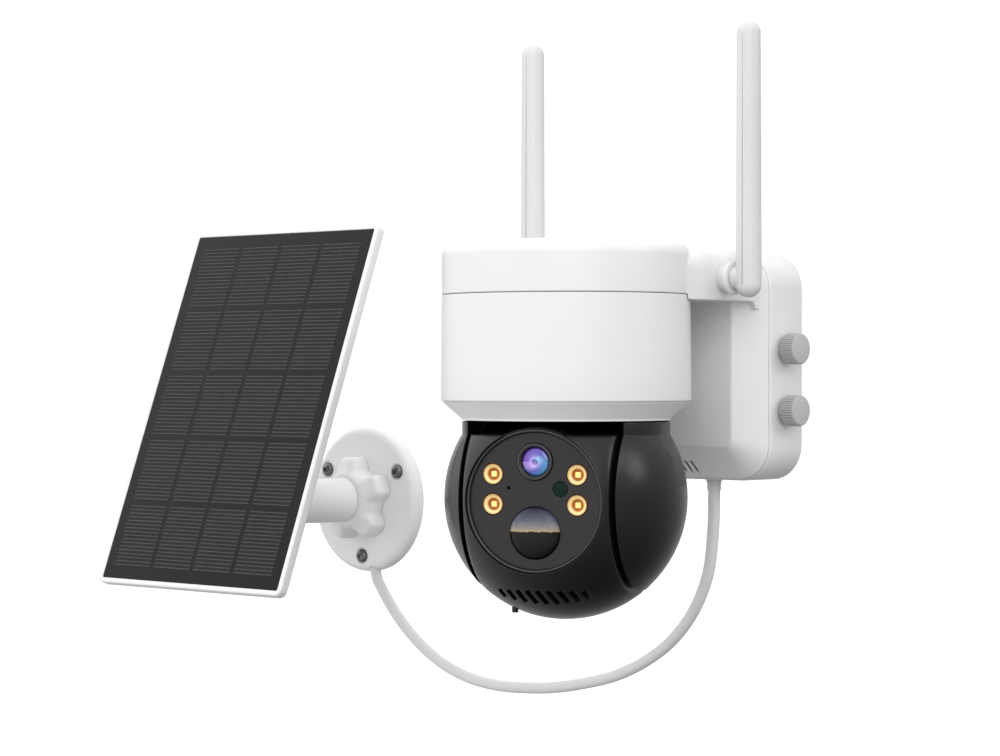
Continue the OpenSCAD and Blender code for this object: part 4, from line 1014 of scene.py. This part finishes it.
def make_panel():
    """Solar panel: frame, glass, cells with their lines, ribbed back and junction box."""
    back, front, lip = PANEL_BACK_Y, PANEL_FRONT_Y, FRAME_T
    steps = [
        (lip, back), (0.9, back), (0.35, back - 0.25), (0, back - 0.8), (0, front + 0.8),
        (0.12, front + 0.4), (0.4, front + 0.12), (0.8, front), (lip - 0.35, front),
        (lip - 0.1, front + 0.1), (lip, front + 0.35),
    ]
    frame_piece = loft("solar_frame", panel_rings(steps), AT_PANEL, wrap=True)
    piece(frame_piece, "solar_panel", "white_shell", "panel_frame")

    lip += 0.02
    steps = [(lip, front + 2.9), (lip, front + 0.32), (lip + 0.15, front + 0.3)]
    piece(loft("solar_glass", panel_rings(steps), AT_PANEL), "solar_panel", "panel_glass", "panel_glass")

    cells, lines = bmesh.new(), bmesh.new()
    margin = 5.2
    wide = (2 * (PANEL_W - lip) - 2 * margin) / CELL_COLS
    tall = (2 * (PANEL_H - lip) - 2 * margin) / CELL_ROWS
    gap_x, gap_z, level = 2.3, 2.7, front + 0.3
    half_w, half_h = (wide - gap_x) / 2, (tall - gap_z) / 2
    for col in range(CELL_COLS):
        for row in range(CELL_ROWS):
            x = (col - (CELL_COLS - 1) / 2) * wide
            z = PANEL_RISE + (row - (CELL_ROWS - 1) / 2) * tall
            cell = prism_rings(round_rect(half_w, half_h, 0.4, 3), -0.5, 0.05)
            add_loft(cells, cell, AT_PANEL @ shift(x, level, z) @ OUTWARD)
            for i in range(LINES_PER_CELL):
                height = z + (i - (LINES_PER_CELL - 1) / 2) * (2 * half_h - 1.2) / (LINES_PER_CELL - 1)
                low = (x - half_w + 0.3, level - 0.085, height - 0.17)
                high = (x + half_w - 0.3, level - 0.02, height + 0.17)
                add_loft(lines, box_rings(low, high), AT_PANEL)
    piece(from_mesh("solar_cell_plates", cells), "solar_panel", "solar_cells", "cell_sheet")
    fingers = from_mesh("solar_cell_lines", lines)
    piece(fingers, "solar_panel", "solar_cells")
    fingers.data.materials[0] = LINE_METAL

    steps = [(lip, back - 1.7), (lip, back - 0.2), (lip + 0.3, back)]
    rear = loft("solar_back", panel_rings(steps), AT_PANEL)
    low, high = back - 0.5, back + 1.1
    bottom, top = PANEL_RISE - 86, PANEL_RISE + 86
    upright = [((k - 0.9, low, bottom), (k + 0.9, high, top)) for k in (-44, -26, 26, 44)]
    heights = [PANEL_RISE + k for k in (-84, -63, 21, 63, 84)]
    level = [((-60, low, k - 0.9), (60, high - 0.1, k + 0.9)) for k in heights]
    add_ribs(rear, upright, AT_PANEL)
    add_ribs(rear, level, AT_PANEL)
    piece(rear, "solar_panel", "white_shell", "panel_back")

    box_at = AT_PANEL @ shift(0, 0, 42) @ OUTWARD
    outline = round_rect(20, 14, 3)
    body = prism("junction_case", outline, -back - 7.2, -back, box_at)
    lid = prism("junction_lid", outline, -back - 9, -back - 7.35, box_at, 0.8, 0.15)
    piece(body, "solar_panel", "white_shell", "junction_box")
    holes, heads = bmesh.new(), bmesh.new()
    seat = -back - 8.4
    head = [(0, seat - 0.05), (1.0, seat - 0.55), (1.6, seat - 0.4), (1.7, seat), (0, seat)]
    for x in (-16.5, 16.5):
        for y in (-10.5, 10.5):
            at = box_at @ shift(x, y, 0)
            add_loft(holes, lathe_rings(cylinder(1.9, -back - 9.5, seat), 24), at)
            add_loft(heads, lathe_rings(head, 24), at)
    combine(lid, from_mesh("holes", holes))
    piece(lid, "solar_panel", "white_shell")
    piece(from_mesh("junction_screws", heads), "solar_panel", "steel")


make_box()
make_wall_plate()
make_knobs()
make_cover()
make_housing()
make_antennas()
make_ears()
make_head()
make_face()
make_bracket()
make_panel()

SLOT_BY_NODE = {part["node"]: part["material_slot"] for part in frame["record"]["subparts"]}
for name, obj in NODES.items():
    if obj.hide_render:
        continue
    obj.data.materials.clear()
    obj.data.materials.append(MATERIALS[SLOT_BY_NODE[name]])
    smooth(obj)


# ---- studio ----

FLOOR_LEVEL, FLOOR_HALF = -0.5, 30      # metres
LIGHT_SLOPE = (-0.19, -0.30, 0.66)      # how the light from around changes with its direction
LIGHT_LEVEL, BACKDROP_LEVEL = 0.87, 1.05


def make_floor():
    """A pale floor well below the wall-mounted object."""
    mesh = bmesh.new()
    bmesh.ops.create_grid(mesh, x_segments=24, y_segments=24, size=FLOOR_HALF)
    data = bpy.data.meshes.new("floor")
    mesh.to_mesh(data)
    mesh.free()
    floor = add_object("floor", data)
    floor.location = (0, 0, FLOOR_LEVEL)
    floor.visible_diffuse = False
    floor.visible_glossy = False
    shader = Shader("floor_paint", Roughness=0.9)
    tone = shader.ramp(shader.noise(3, 3), [(0.3, (0.93, 0.93, 0.93)), (0.7, (0.95, 0.95, 0.95))])
    shader.link(tone, "Base Color")
    data.materials.append(shader.material)


def make_studio():
    """White surroundings, brighter above, to the left and in front, and plain to the camera."""
    world = bpy.data.worlds.new("studio")
    world.use_nodes = True
    tree = world.node_tree
    background = tree.nodes["Background"]
    background.inputs["Color"].default_value = (1, 1, 1, 1)
    direction = tree.nodes.new("ShaderNodeTexCoord")
    slope = tree.nodes.new("ShaderNodeVectorMath")
    slope.operation = "DOT_PRODUCT"
    slope.inputs[1].default_value = LIGHT_SLOPE
    level = tree.nodes.new("ShaderNodeMath")
    level.operation = "ADD"
    level.inputs[1].default_value = LIGHT_LEVEL
    path = tree.nodes.new("ShaderNodeLightPath")
    seen = tree.nodes.new("ShaderNodeMix")
    seen.inputs["B"].default_value = BACKDROP_LEVEL
    tree.links.new(direction.outputs["Generated"], slope.inputs[0])
    tree.links.new(slope.outputs["Value"], level.inputs[0])
    tree.links.new(level.outputs[0], seen.inputs["A"])
    tree.links.new(path.outputs["Is Camera Ray"], seen.inputs["Factor"])
    tree.links.new(seen.outputs["Result"], background.inputs["Strength"])
    bpy.context.scene.world = world


def make_softbox(name, place, size, power):
    """A large soft lamp aimed at the origin."""
    data = bpy.data.lights.new(name, "AREA")
    data.shape = "DISK"
    data.size = size
    data.energy = power
    softbox = add_object(name, data)
    softbox.location = place
    softbox.rotation_euler = Vector(place).to_track_quat("Z", "Y").to_euler()
    softbox.visible_camera = False


make_floor()
make_studio()
make_softbox("softbox_front", (1.05, -1.0, 0.6), 1.0, 5)
make_softbox("softbox_side", (1.2, 0.45, 0.55), 0.5, 2.2)

bpy.context.view_layer.update()
